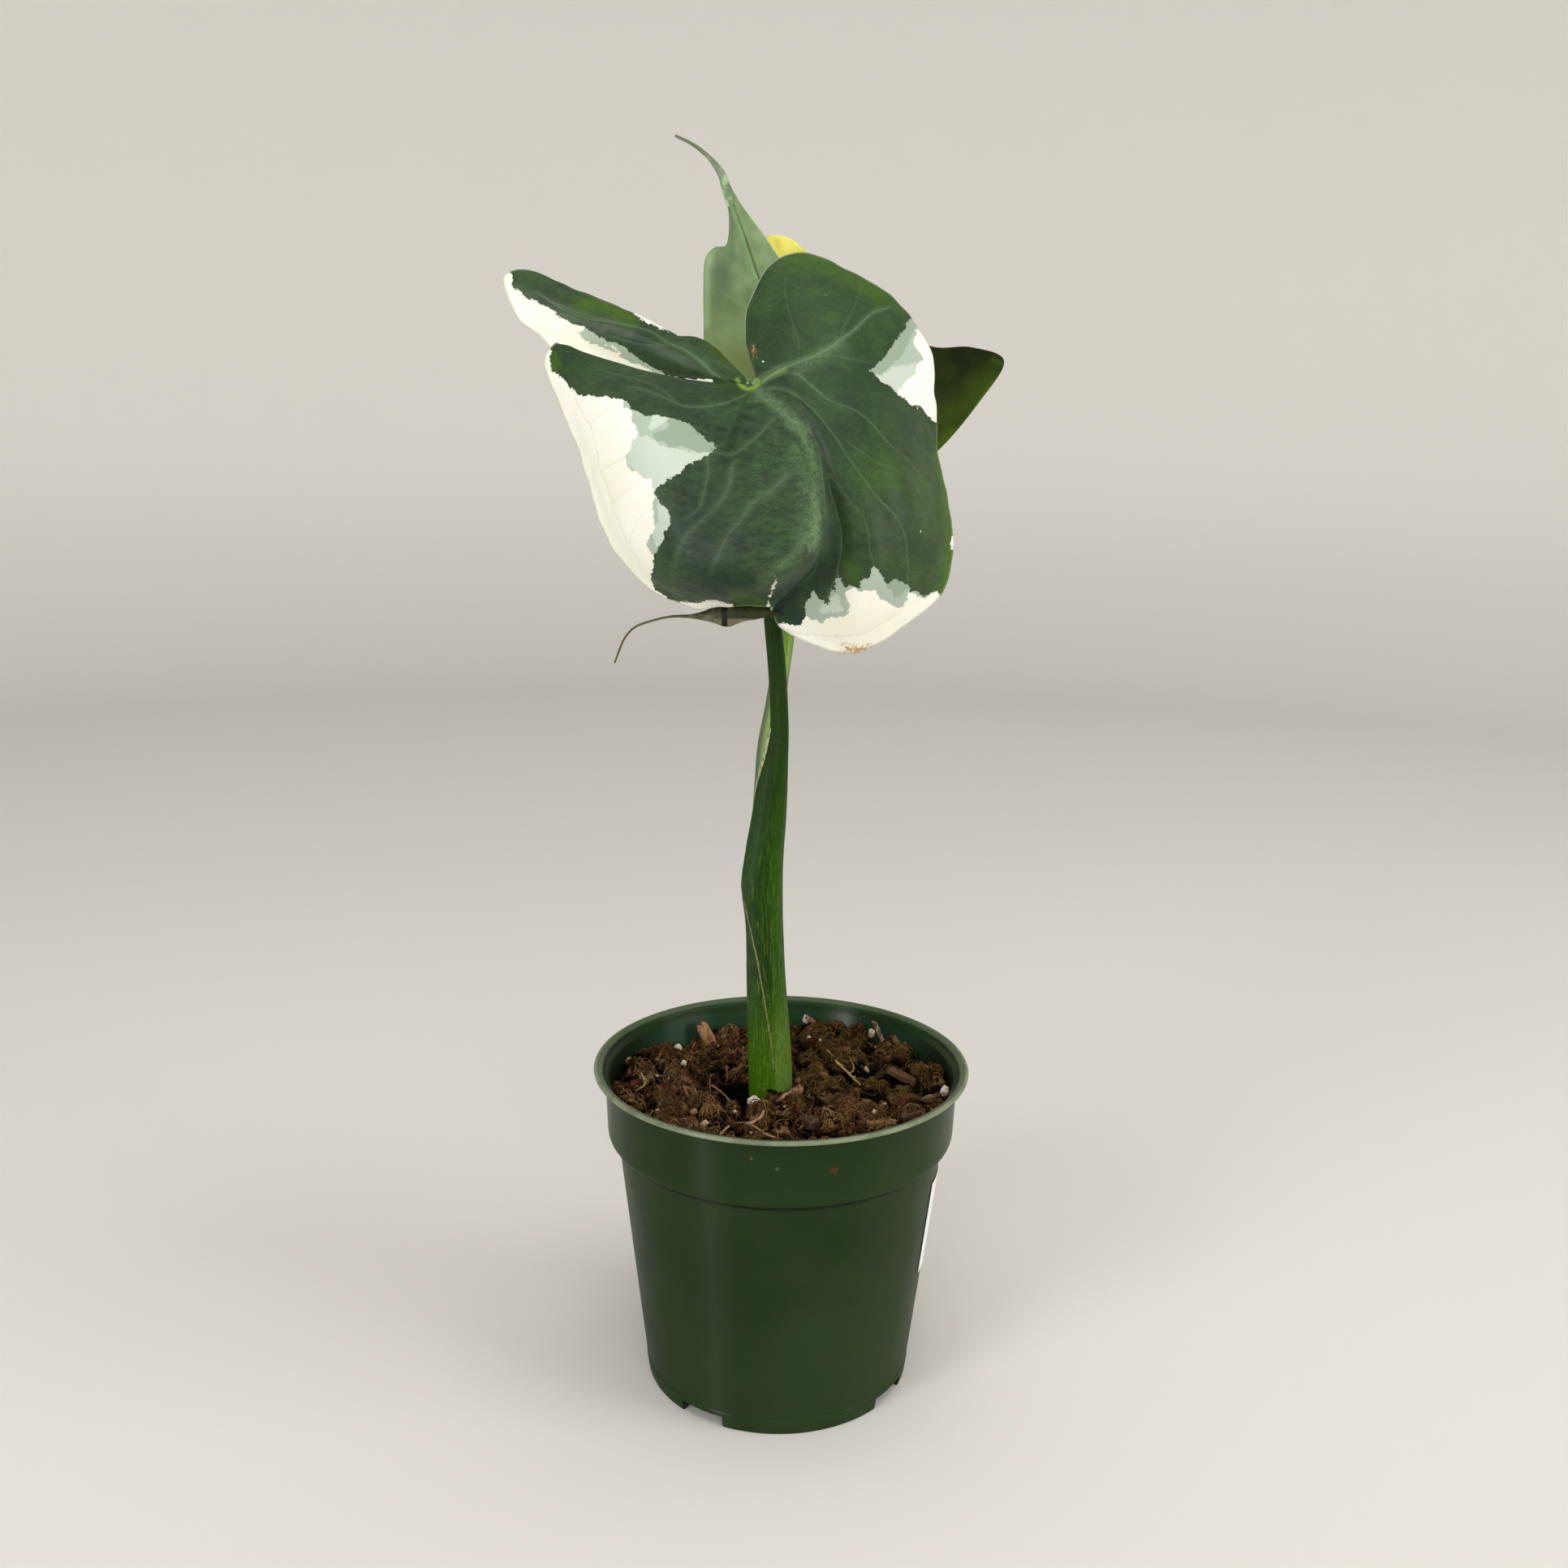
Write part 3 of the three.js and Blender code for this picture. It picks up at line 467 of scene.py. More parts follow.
# Where the blade is cream, sage or dark sage: outlines that run past the margin on their outer side
frontSectors = {
    "lightOnFlap": [
        [(631, 336), (632.6, 347.4), (631.6, 352.6), (643, 360), (648.4, 366.3), (655.8, 368.4), (663, 373.7),
         (672.6, 376.8), (684, 384), (689.5, 390.5), (701, 396.8), (713.7, 400), (721, 404.6), (730.5, 408.4),
         (739, 413.7), (749.5, 420), (760, 422), (772.6, 427.4), (779, 434.7), (787.4, 441), (798, 447.4),
         (810.5, 455.8), (823, 463), (836, 466.3), (852.6, 468.4), (878, 467.4), (880, 520), (600, 520),
         (590, 320)],
        [(769, 374), (779, 385), (790, 394.5), (803, 401), (824, 410), (824, 396), (785, 368)],
    ],
    "sageOnFlap": [
        [(713.7, 411), (721, 404), (760, 415), (800, 440), (830, 460), (823, 467), (810.5, 461),
         (789.5, 450.5), (774.7, 445.3), (762, 437.9), (766.3, 434.7), (755, 425), (745, 424), (760, 433.5),
         (747.4, 428.8), (734.7, 424.2), (722, 419)],
    ],
    "light": [
        [(679, 434.7), (677.9, 445.3), (681, 456.8), (690.5, 461), (694.7, 468.4), (700, 470.5), (703, 479),
         (712.6, 482), (714.7, 487.4), (730.5, 487.4), (747.4, 489.5), (760, 492.6), (773.7, 493.7),
         (778, 504), (787.4, 507.4), (793.7, 512.6), (808.4, 512.6), (823, 514.7), (838, 519), (852.6, 525.3),
         (856.8, 532.6), (867.4, 542), (884.5, 552.6), (871.6, 561), (859, 569.5), (845.3, 573.7), (838, 584),
         (821, 591.6), (804, 608), (814, 617), (826.3, 631.4), (827.4, 639), (824, 649.3), (819, 656),
         (819.6, 662.7), (814, 673.8), (807.3, 682.8), (806, 694), (803, 716), (808.4, 726.3), (829.6, 738.6),
         (845.3, 740.8), (862, 741.5), (872, 738.6), (883, 738.6), (903, 744), (900, 775), (820, 775),
         (690, 740), (600, 500), (630, 400), (679, 425)],
        [(1121.7, 390), (1116.6, 397.3), (1114, 407.6), (1106.4, 415), (1098.7, 426.7), (1091, 439.4),
         (1081, 447), (1078.3, 453.5), (1069, 456), (1074.5, 461), (1079.6, 466), (1086, 471.3),
         (1098.7, 477.7), (1106.4, 486.6), (1115.3, 491.7), (1120.4, 498), (1134.4, 502), (1139.5, 512),
         (1149.7, 519.8), (1200, 530), (1200, 400), (1135, 370)],
        [(962, 766.6), (982.3, 770.4), (988, 768.5), (991.8, 762.8), (992.8, 749.4), (995.7, 738),
         (1003.3, 726.4), (1005, 732), (1012, 739.8), (1014.8, 740.8), (1015.7, 745.6), (1017.7, 738),
         (1020.5, 743.7), (1022.4, 738), (1026.3, 722.6), (1029, 728.4), (1031, 715), (1034, 708.3),
         (1043.5, 726.4), (1044.4, 722.6), (1051, 721.7), (1059.8, 725.5), (1062.6, 710), (1068.4, 712),
         (1072, 703.5), (1078, 697.7), (1083.7, 705.4), (1093, 718.8), (1100, 714), (1117, 718.8),
         (1121, 728.4), (1129.6, 728.4), (1138, 736), (1141, 734), (1154.4, 726.4), (1159, 735), (1200, 745),
         (1100, 860), (980, 860), (945, 790)],
        [(957.4, 706), (952.6, 718), (947, 733), (944, 750), (946.6, 751), (948.8, 735), (953.6, 723),
         (958.2, 711)],
        [(1172, 660), (1170.5, 668), (1171, 678), (1180, 680), (1180, 660)],
    ],
    "sage": [
        [(767, 488), (770.5, 502), (778, 507.4), (780, 521), (785.3, 529.5), (787.4, 535.8), (779, 544),
         (779, 552.6), (772.6, 561), (773.7, 573.7), (779, 579), (786.3, 581), (791.6, 588.4), (802, 591.6),
         (805, 600), (808, 612), (830, 600), (850, 584), (870, 572), (905, 560), (890, 505), (800, 490)],
        [(808.4, 612), (805, 622.5), (806, 633.7), (808.4, 649.3), (805, 658), (799.5, 665), (798.4, 671.6),
         (801.7, 680.5), (808, 684), (840, 670), (840, 625)],
        [(1121.7, 388), (1130.6, 405), (1124, 423), (1129.3, 433), (1138.3, 439.4), (1133, 445.8),
         (1128, 452), (1128, 461), (1118, 467), (1112, 475), (1104, 484), (1090, 482), (1060, 468),
         (1100, 385)],
        [(992.8, 759), (1007, 762.8), (1012.9, 768.5), (1015.7, 767.6), (1016.7, 761), (1032, 760),
         (1044.4, 757), (1047.3, 745.6), (1042.5, 736), (1044.4, 724.5), (1053, 722.6), (1059.8, 728.4),
         (1076, 726.4), (1083.7, 736), (1099, 745.6), (1105.7, 748.4), (1112.4, 747.5), (1116, 739.8),
         (1118, 730.3), (1123.8, 729.3), (1129.6, 734), (1140, 738), (1145, 700), (1080, 680), (1030, 690),
         (988, 712)],
    ],
    "darkSage": [
        [(821, 515.8), (838, 515), (854, 522), (870, 540), (890, 552.6), (873.7, 560), (859, 558),
         (848.4, 551.6), (835.8, 550.5), (823, 552.6), (819, 546.3), (808.4, 544), (801, 534.7), (819, 530.5),
         (824, 523)],
        [(1079.8, 697), (1084.6, 705), (1093, 716), (1100, 711), (1119, 717), (1119, 722.6), (1112.4, 728.4),
         (1108.5, 735), (1103.7, 733), (1101, 736), (1099, 728.4), (1091.3, 720.7)],
        [(1121.7, 388), (1128, 402), (1119, 421), (1110, 440), (1096, 452), (1086, 463), (1060, 458),
         (1100, 385)],
    ],
    "paleSage": [
        [(1109, 451), (1127, 448), (1134, 452), (1132, 463), (1121, 471), (1114, 481), (1104, 490),
         (1060, 474), (1066, 463), (1086, 464), (1092, 458), (1098, 453)],
        [(775.6, 541), (787, 538.5), (798.7, 537), (810, 546.7), (821.8, 552.4), (847.8, 556.8), (862, 560),
         (885, 556), (875, 572), (850, 586), (830, 602), (808, 614), (798.7, 592), (787, 582), (775.6, 573.7),
         (771, 558)],
        [(812, 616), (832, 630), (834, 660), (814, 688), (807, 668), (806, 655), (812, 640), (811, 626)],
        [(799, 522), (806, 510), (818, 508), (823, 516), (812, 526), (800, 529)],
        [(1012, 744), (1020, 746), (1030, 732), (1036, 734), (1036, 745), (1040, 752), (1022, 754),
         (1010, 754)],
    ],
}
# Veins: path in pixels, half width in millimetres at both ends, strength
frontVeins = {
    "rightLobe": ([(936, 474), (952, 461), (972, 451), (993, 443), (1013, 434), (1034, 420), (1051, 407.6),
                   (1067, 392), (1082, 382), (1103, 379)], 1.0, 0.45, 1.0),
    "rightUpper": ([(952, 462), (967, 458.6), (983, 461), (995, 471), (1013, 486.6), (1029, 497),
                    (1049, 504.5), (1067, 517), (1080, 530), (1095, 548), (1115, 563), (1134, 588),
                    (1146, 610)], 0.42, 0.2, 0.75),
    "rightLower": ([(932, 482), (945, 480), (957, 479), (975, 483), (990, 494), (1006, 510), (1018, 525),
                    (1031, 543), (1044, 563), (1057, 581), (1068, 598), (1080, 612.6), (1093, 625),
                    (1105, 638), (1112, 654), (1116, 667), (1118, 690), (1118, 716)], 0.45, 0.25, 0.8),
    "midribCrest": ([(931, 484), (947, 497), (962, 510), (978, 520), (993, 527), (1003, 538), (1009, 555.5),
                     (1012, 581), (1015, 610), (1015.7, 636), (1015, 655), (1014, 671), (1007, 694),
                     (996, 711), (980, 724.5), (963, 738), (949, 747)], 0.5, 0.3, 0.55),
    "byCrest": ([(1020.5, 581), (1024, 608), (1032, 633), (1037, 652), (1037, 675), (1034, 694), (1030, 711),
                 (1022, 728), (1018.6, 738)], 0.2, 0.28, 0.65),
    "fanRight": ([(1022, 583), (1034, 598), (1045, 615.5), (1063, 635), (1070, 656), (1072, 679),
                  (1078, 698)], 0.2, 0.2, 0.4),
    "farRight": ([(1044, 545), (1066, 560), (1082, 571.5), (1099, 578), (1120, 592), (1140, 617)],
                 0.2, 0.2, 0.4),
    "lobeBranch": ([(1034, 420), (1040, 400), (1052, 380), (1058, 362), (1062, 345)], 0.3, 0.15, 0.3),
    "lobeBranchLow": ([(1010, 436), (1040, 441), (1060, 446), (1080, 452)], 0.3, 0.15, 0.35),
    "lobeBranchHigh": ([(985, 446), (984, 420), (974, 390), (968, 360), (972, 332)], 0.3, 0.15, 0.25),
    "leftUpper": ([(922, 485), (907, 491.6), (890, 498), (874, 501), (853, 502), (836, 499), (823, 492.6),
                   (810, 487), (796, 481), (781, 477), (764, 477)], 0.5, 0.22, 0.6),
    "leftUpperFan": ([(836, 499), (812, 478), (785, 468), (757, 461), (735, 455)], 0.25, 0.2, 0.35),
    "foldLine": ([(880, 478), (840, 470), (790, 452), (747, 434.7), (718, 432.6), (697, 434.7)],
                 0.28, 0.2, 0.35),
    "flap": ([(903, 472), (895, 468), (880, 460), (863, 445), (848, 434.7), (836, 428), (821, 422),
              (806, 411.6), (789.5, 405), (768, 400), (747, 396), (726, 392.6), (705, 386), (684, 376),
              (660, 360)], 0.7, 0.25, 0.9),
    "flapLow": ([(863, 445), (848, 437), (836, 431), (821, 426), (796, 424), (775, 420), (752, 412)],
                0.25, 0.2, 0.5),
    "flapHigh": ([(880, 460), (869, 440), (858, 428)], 0.3, 0.2, 0.3),
    "leftLow1": ([(972, 584), (950, 605), (928, 620), (912, 643), (897, 660), (883, 687),
                  (874, 705)], 1.2, 0.8, 0.4),
    "leftLow2": ([(903, 573), (899, 600), (883, 625), (861, 645), (847.5, 658), (836, 680),
                  (827, 716)], 1.1, 0.8, 0.38),
    "leftLow3": ([(1001, 656), (981, 676), (966, 694), (950, 707), (939, 730)], 1.0, 0.8, 0.3),
    "leftLow4": ([(870, 560), (872, 582), (868, 605), (861, 627), (846, 640)], 0.8, 0.6, 0.35),
    "leftMiddle": ([(952, 518), (926, 545), (901, 561), (876, 557), (850, 556)], 0.7, 0.45, 0.4),
    "creamRim": ([(705, 483), (718, 510.5), (727, 523), (733, 544), (737, 565), (743, 586), (751.6, 616),
                  (756, 631), (767, 656), (778, 678), (794, 707), (808, 725)], 0.22, 0.22, 0.9),
    "creamSide1": ([(728, 523), (747, 506), (762, 494)], 0.2, 0.15, 0.6),
    "creamSide2": ([(743, 578), (760, 569.5), (773, 561), (789.5, 546), (810, 529.5), (823, 517)],
                   0.2, 0.15, 0.6),
    "creamSide3": ([(756, 618), (775, 603), (795, 590)], 0.2, 0.15, 0.5),
    "creamSide4": ([(775, 671.6), (785, 645), (798, 627), (810, 614.7)], 0.2, 0.15, 0.6),
    "lowRim": ([(963, 772), (988, 782), (1007, 783), (1042, 785), (1068, 780), (1087, 772), (1103, 761),
                (1116, 747.5), (1130, 741.7), (1154, 728)], 0.22, 0.2, 0.8),
    "flapCream": ([(700, 395), (672, 385), (650, 372), (640, 358)], 0.2, 0.15, 0.4),
}
# Soft marks: path in pixels, radius in pixels, strength
frontMarks = {
    # freshAndLit: the blade's fresh yellow-green, laid partly as painted light on patches that face the lamps
    "freshAndLit": [([(716, 378), (735, 374), (760, 384), (776, 394)], 11, 1.0),
               ([(682, 440), (684, 452)], 8, 1.0),
               ([(975, 322), (1010, 326), (1050, 345), (1085, 366)], 15, 0.8),
               ([(1158, 560), (1168, 610), (1171, 660), (1166, 700), (1160, 726)], 10, 1.0),
               ([(1100, 690), (1140, 712), (1156, 722)], 18, 0.3), ([(1046, 695), (1052, 712)], 9, 0.7),
               ([(905, 735), (940, 742)], 9, 0.6), ([(872, 425), (893, 446)], 6, 0.5),
               ([(1090, 372), (1116, 386)], 9, 0.5), ([(1080, 580), (1130, 600), (1150, 650)], 26, 0.35),
               ([(960, 345), (1010, 375), (1060, 400)], 50, 0.22)],
    # pale: painted sheen along the crest and over the bulge, partly the waxy bloom of the blade
    "pale": [([(937, 487), (955, 499), (972, 516), (988, 535), (997, 560), (1002, 592), (1005, 640),
               (1000, 674)], 8.5, 1.0),
             ([(985, 560), (996, 620), (992, 670)], 14, 0.45),
             ([(940, 712), (975, 692), (996, 672)], 13, 0.4),
             ([(985, 460), (1010, 440), (1035, 426)], 9, 0.5)],
    "shade": [([(860, 610), (850, 660), (880, 715)], 36, 0.75), ([(960, 745), (985, 765)], 16, 1.0),
              ([(962, 738), (978, 722), (996, 696)], 15, 0.9), ([(900, 655), (915, 668)], 16, 0.6),
              ([(1010, 700), (1000, 740)], 12, 0.7), ([(1024, 650), (1028, 690), (1016, 726)], 8, 0.6),
              ([(835, 678), (880, 706), (940, 722)], 22, 0.6), ([(820, 470), (870, 480)], 10, 0.25)],
    "ring": [([(908.5, 468), (912, 475.5), (921, 480), (931, 477), (935, 469)], 2.7, 1.0),
             ([(937, 470), (950, 462), (966, 456)], 3.0, 0.45)],
    "crinkle": [([(915, 525), (950, 590), (935, 670)], 55, 1.0), ([(845, 605), (850, 680)], 45, 0.8),
                ([(1020, 650), (1050, 690)], 20, 0.3)],
    "brown": [([(929, 428), (931, 440)], 2.4, 1.0), ([(1040, 796), (1052, 800), (1068, 796)], 5, 1.0)],
}
print("front leaf traced")


def leafGrid(leaf):
    # the blade's places, the spoke and the reach that each lies at, and the normals
    shares = np.linspace(0, 1, leaf["rows"] + 1)
    spokes = [catmullRom([leaf["junction"], *points], shares) for points in leaf["spokes"].values()]
    count = (len(spokes) - 1) * leaf["perSpoke"]
    across = catmullRom(np.array(spokes).reshape(len(spokes), -1), np.linspace(0, 1, count + 1))
    places = across.reshape(count + 1, leaf["rows"] + 1, 3)
    turn, reach = np.meshgrid(np.linspace(0, len(spokes) - 1, count + 1), shares, indexing="ij")
    return places, turn, reach, surfaceNormals(places)


def surfaceNormals(places):
    across = np.gradient(places, axis=0)
    outward = np.gradient(places, axis=1)
    normal = np.cross(outward, across)
    length = np.linalg.norm(normal, axis=2)[..., None]
    normal = normal / np.maximum(length, 1e-9)
    normal[:, 0] = normal[:, 1]
    return normal


def onSurface(path, places, normals, allowed):
    # the places in millimetres where a pixel path lies on the blade, or the nearest grid places beside it
    flat, face = places.reshape(-1, 3), normals.reshape(-1, 3)
    pixels, depth = toPhoto(flat)
    eye = np.array(shot["place"])
    found = []
    for pixel, ray in zip(path, rayThrough(path)):
        far = np.linalg.norm(pixels - pixel, axis=1) + np.where(allowed.ravel(), 0, 1e6)
        close = np.flatnonzero(far <= max(3.0, far.min() + 0.5))
        k = close[np.argmin(depth[close])]
        slope = ray @ face[k]
        place = flat[k]
        if abs(slope) > 0.25 * np.linalg.norm(ray):
            place = eye + ray * ((flat[k] - eye) @ face[k] / slope)
        if np.linalg.norm(place - flat[k]) > 1.5:
            place = flat[k]
        found.append(place)
    found = np.array(found)
    found[1:-1] = (found[:-2] + 2 * found[1:-1] + found[2:]) / 4
    return found


def veinField(places, normals, veins, zones):
    # how strongly each place of the blade lies on a vein, and for fine lines the signed distance from a
    # vein over its half width with a mask, in three channels so that close veins don't share one
    flat, face = places.reshape(-1, 3), normals.reshape(-1, 3)
    field = np.zeros(len(flat))
    sides, masks = np.zeros((len(flat), 3)), np.zeros((len(flat), 3))
    for name, (path, startWidth, endWidth, strength) in veins.items():
        allowed = zones(name)
        track = smoothPath(onSurface(smoothPath(path, 6.0), places, normals, allowed), 0.6)
        far, share = lineDistance(flat, track)
        width = startWidth + (endWidth - startWidth) * share
        strong = np.where(allowed.ravel(), strength * (1 - 0.45 * share), 0)
        field = np.maximum(field, strong * np.exp(-((far / width) ** 2)))
        k = np.minimum((share * (len(track) - 1)).astype(int), len(track) - 2)
        across = np.cross(face, track[k + 1] - track[k])
        side = np.sign(np.einsum("ij,ij->i", flat - track[k], across))
        ends = smoothStep(0, 0.03, share) * smoothStep(1, 0.93, share)
        mask = strong * ends * smoothStep(2.2, 1.2, far)
        channel = np.argmin([np.minimum(masks[:, c], mask).sum() for c in range(3)])
        take = mask > masks[:, channel]
        masks[take, channel] = mask[take]
        sides[take, channel] = (side * far / (0.55 * width))[take]
    shape = places.shape[:2]
    return field.reshape(shape), sides.reshape(*shape, 3), masks.reshape(*shape, 3)


def softMarks(pixels, marks):
    field = np.zeros(len(pixels))
    for path, radius, strength in marks:
        far, _ = lineDistance(pixels, smoothPath(path, radius / 2))
        field = np.maximum(field, strength * np.exp(-((far / radius) ** 2)))
    return field


def sectorField(pixels, outlines):
    return np.max([insideDistance(pixels, outline) for outline in outlines], axis=0)


def noiseField(places, size, shift=(0, 0, 0)):
    values = [noise.noise(Vector(place) / size + Vector(shift)) for place in places.reshape(-1, 3)]
    return np.array(values).reshape(places.shape[:2])


def swollen(places, normals, reach, vein, relief):
    # the blade swells a little between its sunken veins
    swell = relief["swell"] * noiseField(places, relief["size"])
    between = swell * smoothStep(0.05, 0.3, reach) * smoothStep(1.0, 0.8, reach)
    return places + normals * (between - relief["sink"] * vein)[..., None]


def spokeBand(leaf, turn, first, last):
    # a smooth band over the spokes, whose ends are each a spoke's name with the start and the end of its ramp
    band = 1.0
    for name, start, end in (first, last):
        spoke = list(leaf["spokes"]).index(name)
        band = band * smoothStep(spoke + start, spoke + end, turn)
    return band


def buildFrontLeaf():
    leaf = frontLeaf
    places, turn, reach, normals = leafGrid(leaf)
    onFlap = turn < list(leaf["spokes"]).index("crest") - 0.4

    def zones(name):
        return onFlap if name.startswith("flap") else ~onFlap

    vein, sides, masks = veinField(places, normals, frontVeins, zones)
    places = swollen(places, normals, reach, vein, leaf["relief"])
    # the lower margin rolls back, and all of it is a little ruffled
    roll, ruffle = leaf["roll"], leaf["ruffle"]
    lowLeft = roll["left"] * spokeBand(leaf, turn, ("left1", -1, 1), ("byMidrib", 0, -2))
    lowRight = roll["right"] * spokeBand(leaf, turn, ("bottomRight1", -1, 1), ("right1", 0.5, -0.5))
    rolled = (lowLeft + lowRight + roll["all"]) * smoothStep(roll["from"], 1.0, reach) ** 1.5
    places = places - normals * rolled[..., None]
    waves = ruffle["depth"] * noiseField(places, ruffle["size"], (7, 3, 1))
    places = places + normals * (waves * smoothStep(ruffle["from"], 1.0, reach))[..., None]

    pixels, _ = toPhoto(places.reshape(-1, 3))
    length = np.linalg.norm(places[:, -1] - places[:, 0], axis=1)[:, None]
    innerLobe = spokeBand(leaf, turn, ("top3", -0.4, 0), ("innerLow", 1, 0.6))
    edge = smoothStep(0.5, 0.2, (1 - reach) * length) * (0.3 + 0.7 * innerLobe) * smoothStep(5, 14, length)
    attributes = {"vein": vein, "veinSide": sides, "veinMask": masks, "edge": edge}
    sectors = {key: sectorField(pixels, outlines) for key, outlines in frontSectors.items()}
    for key in ("light", "sage"):
        sectors[key] = np.where(onFlap.ravel(), sectors.pop(key + "OnFlap"), sectors[key])
    for key, values in sectors.items():
        attributes[key] = (np.clip(values, -40, 40) / leaf["pixelsPerMillimetre"]).reshape(reach.shape)
    for key, marks in frontMarks.items():
        attributes[key] = softMarks(pixels, marks).reshape(reach.shape)
    return gridMesh("frontLeafBlade", places, attributes, flip=True)


leafColours = palette(
    deep=(40, 60, 36), green=(51, 73, 40), fresh=(61, 93, 10), pale=(98, 120, 84), shade=(30, 47, 37),
    vein=(112, 136, 100), ring=(128, 154, 62), brown=(180, 136, 78), speck=(205, 215, 190),
    cream=(240, 239, 227), creamWarm=(238, 236, 216), creamVein=(206, 186, 158), sage=(165, 179, 163),
    darkSage=(144, 160, 140), paleSage=(190, 201, 187), sageVein=(140, 160, 140), under=(128, 150, 116),
    underDeep=(104, 128, 92), underVein=(160, 178, 136), rim=(170, 188, 146))
# How ragged and how soft the edge of each sector is, in millimetres
sectorTears = {"light": (1.9, 0.07), "sage": (1.7, 0.12), "darkSage": (1.5, 0.12), "paleSage": (1.8, 0.18)}


def veinLines(tree):
    side, mask = attribute(tree, "veinSide", "Vector"), attribute(tree, "veinMask", "Vector")
    return useGroup(tree, veinLine, Side=side, Mask=mask)


def buildSectorColours(tree, position):
    # cream, sage, dark and pale sage, shared by both faces of the front leaf
    masks = {}
    for key, (ragged, soft) in sectorTears.items():
        distance = attribute(tree, key)
        masks[key] = useGroup(tree, sectorEdge, Distance=distance, Position=position, Ragged=ragged,
                              Soft=soft)
    vein, tones = veinLines(tree), leafColours
    cream = blotched(tree, position, 55.0, tones["cream"], tones["creamWarm"])
    cream = paint(tree, cream, (times(tree, vein, 0.8), tones["creamVein"]))
    sage = paint(tree, tones["sage"], (masks["darkSage"], tones["darkSage"]),
                 (masks["paleSage"], tones["paleSage"]), (times(tree, vein, 0.35), tones["sageVein"]))
    return masks["light"], paint(tree, cream, (masks["sage"], sage))


def buildFrontUpper(tree, position):
    lightMask, lightTone = buildSectorColours(tree, position)
    vein, line, crinkle = attribute(tree, "vein"), veinLines(tree), attribute(tree, "crinkle")
    tones = leafColours
    green = blotched(tree, position, 90.0, tones["deep"], tones["green"])
    broken = ramp(tree, grain(tree, position, 800.0, 4.0), 0.3, 0.6, 0.4, 0.85)
    # painted sheen where the crest and the bulge catch the light, partly waxy bloom, broken up by noise
    paintedSheen = times(tree, attribute(tree, "pale"), broken)
    # painted shade, painted sheen, and the fresh green laid partly as painted light
    green = paint(tree, green, (mark(tree, "shade", 0.88), tones["shade"]), (paintedSheen, tones["pale"]),
                  (mark(tree, "freshAndLit", 0.85), tones["fresh"]))
    fine = grain(tree, stretch(tree, position, (1.0, 1.0, 2.4)), 330.0, 6.0, 0.68)
    depth = times(tree, ramp(tree, crinkle, 0.0, 1.0, 0.25, 0.75), 4.0)
    fleck = plus(tree, times(tree, minus(tree, fine, 0.5), depth), 1.0)
    speckle = ramp(tree, grain(tree, position, 1600.0, 3.0), 0.3, 0.7, 0.86, 1.12)
    green = shadeBy(tree, green, times(tree, fleck, speckle))
    veinShare = calc(tree, "MAXIMUM", times(tree, vein, 0.5), times(tree, line, 0.65))
    specks = addNode(tree, "TexVoronoi", {"Vector": position, "Scale": 95.0}).outputs["Distance"]
    crumbs = times(tree, attribute(tree, "brown"), ramp(tree, grain(tree, position, 900.0, 2.0), 0.42, 0.6))
    tone = paint(tree, green, (veinShare, tones["vein"]), (ramp(tree, specks, 0.035, 0.02), tones["speck"]),
                 (lightMask, lightTone), (attribute(tree, "ring"), tones["ring"]),
                 (attribute(tree, "edge"), tones["rim"]), (crumbs, tones["brown"]))
    relief = times(tree, fine, plus(tree, crinkle, 0.5))
    height = minus(tree, relief, plus(tree, times(tree, vein, 0.4), times(tree, line, 0.2)))
    rough = ramp(tree, grain(tree, position, 240.0, 3.0), 0.3, 0.7, 0.38, 0.5)
    rough = plus(tree, rough, times(tree, lightMask, 0.06))
    return {"Base Color": tone, "Roughness": rough, "Normal": bumpFrom(tree, height, 0.0006, 0.5)}


def buildFrontUnder(tree, position):
    lightMask, lightTone = buildSectorColours(tree, position)
    green = blotched(tree, position, 60.0, leafColours["underDeep"], leafColours["under"])
    tone = paint(tree, green, (lightMask, lightTone), (mark(tree, "vein", 0.6), leafColours["underVein"]))
    height = plus(tree, grain(tree, position, 420.0, 4.0), attribute(tree, "vein"))
    return {"Base Color": tone, "Normal": bumpFrom(tree, height, 0.0002, 0.5)}


def buildLeafRim(tree, position):
    lightMask, lightTone = buildSectorColours(tree, position)
    return {"Base Color": paint(tree, leafColours["rim"], (lightMask, lightTone))}


leafGlow = {"Subsurface_Weight": 0.06, "Subsurface_Radius": (0.002, 0.003, 0.001), "Subsurface_Scale": 0.5}
frontUpper = makeMaterial("frontLeafUpper", buildFrontUpper, Specular_IOR_Level=0.17, **leafGlow)
frontUnder = makeMaterial("frontLeafUnder", buildFrontUnder, Roughness=0.55, Specular_IOR_Level=0.35)
leafRim = makeMaterial("leafRim", buildLeafRim, Roughness=0.5)
blade = linkPiece("frontLeafBlade", buildFrontLeaf(), frontUpper, ["leaf_front"])
thicken(blade, frontLeaf["thickness"], frontUnder, leafRim)
print("front leaf built")

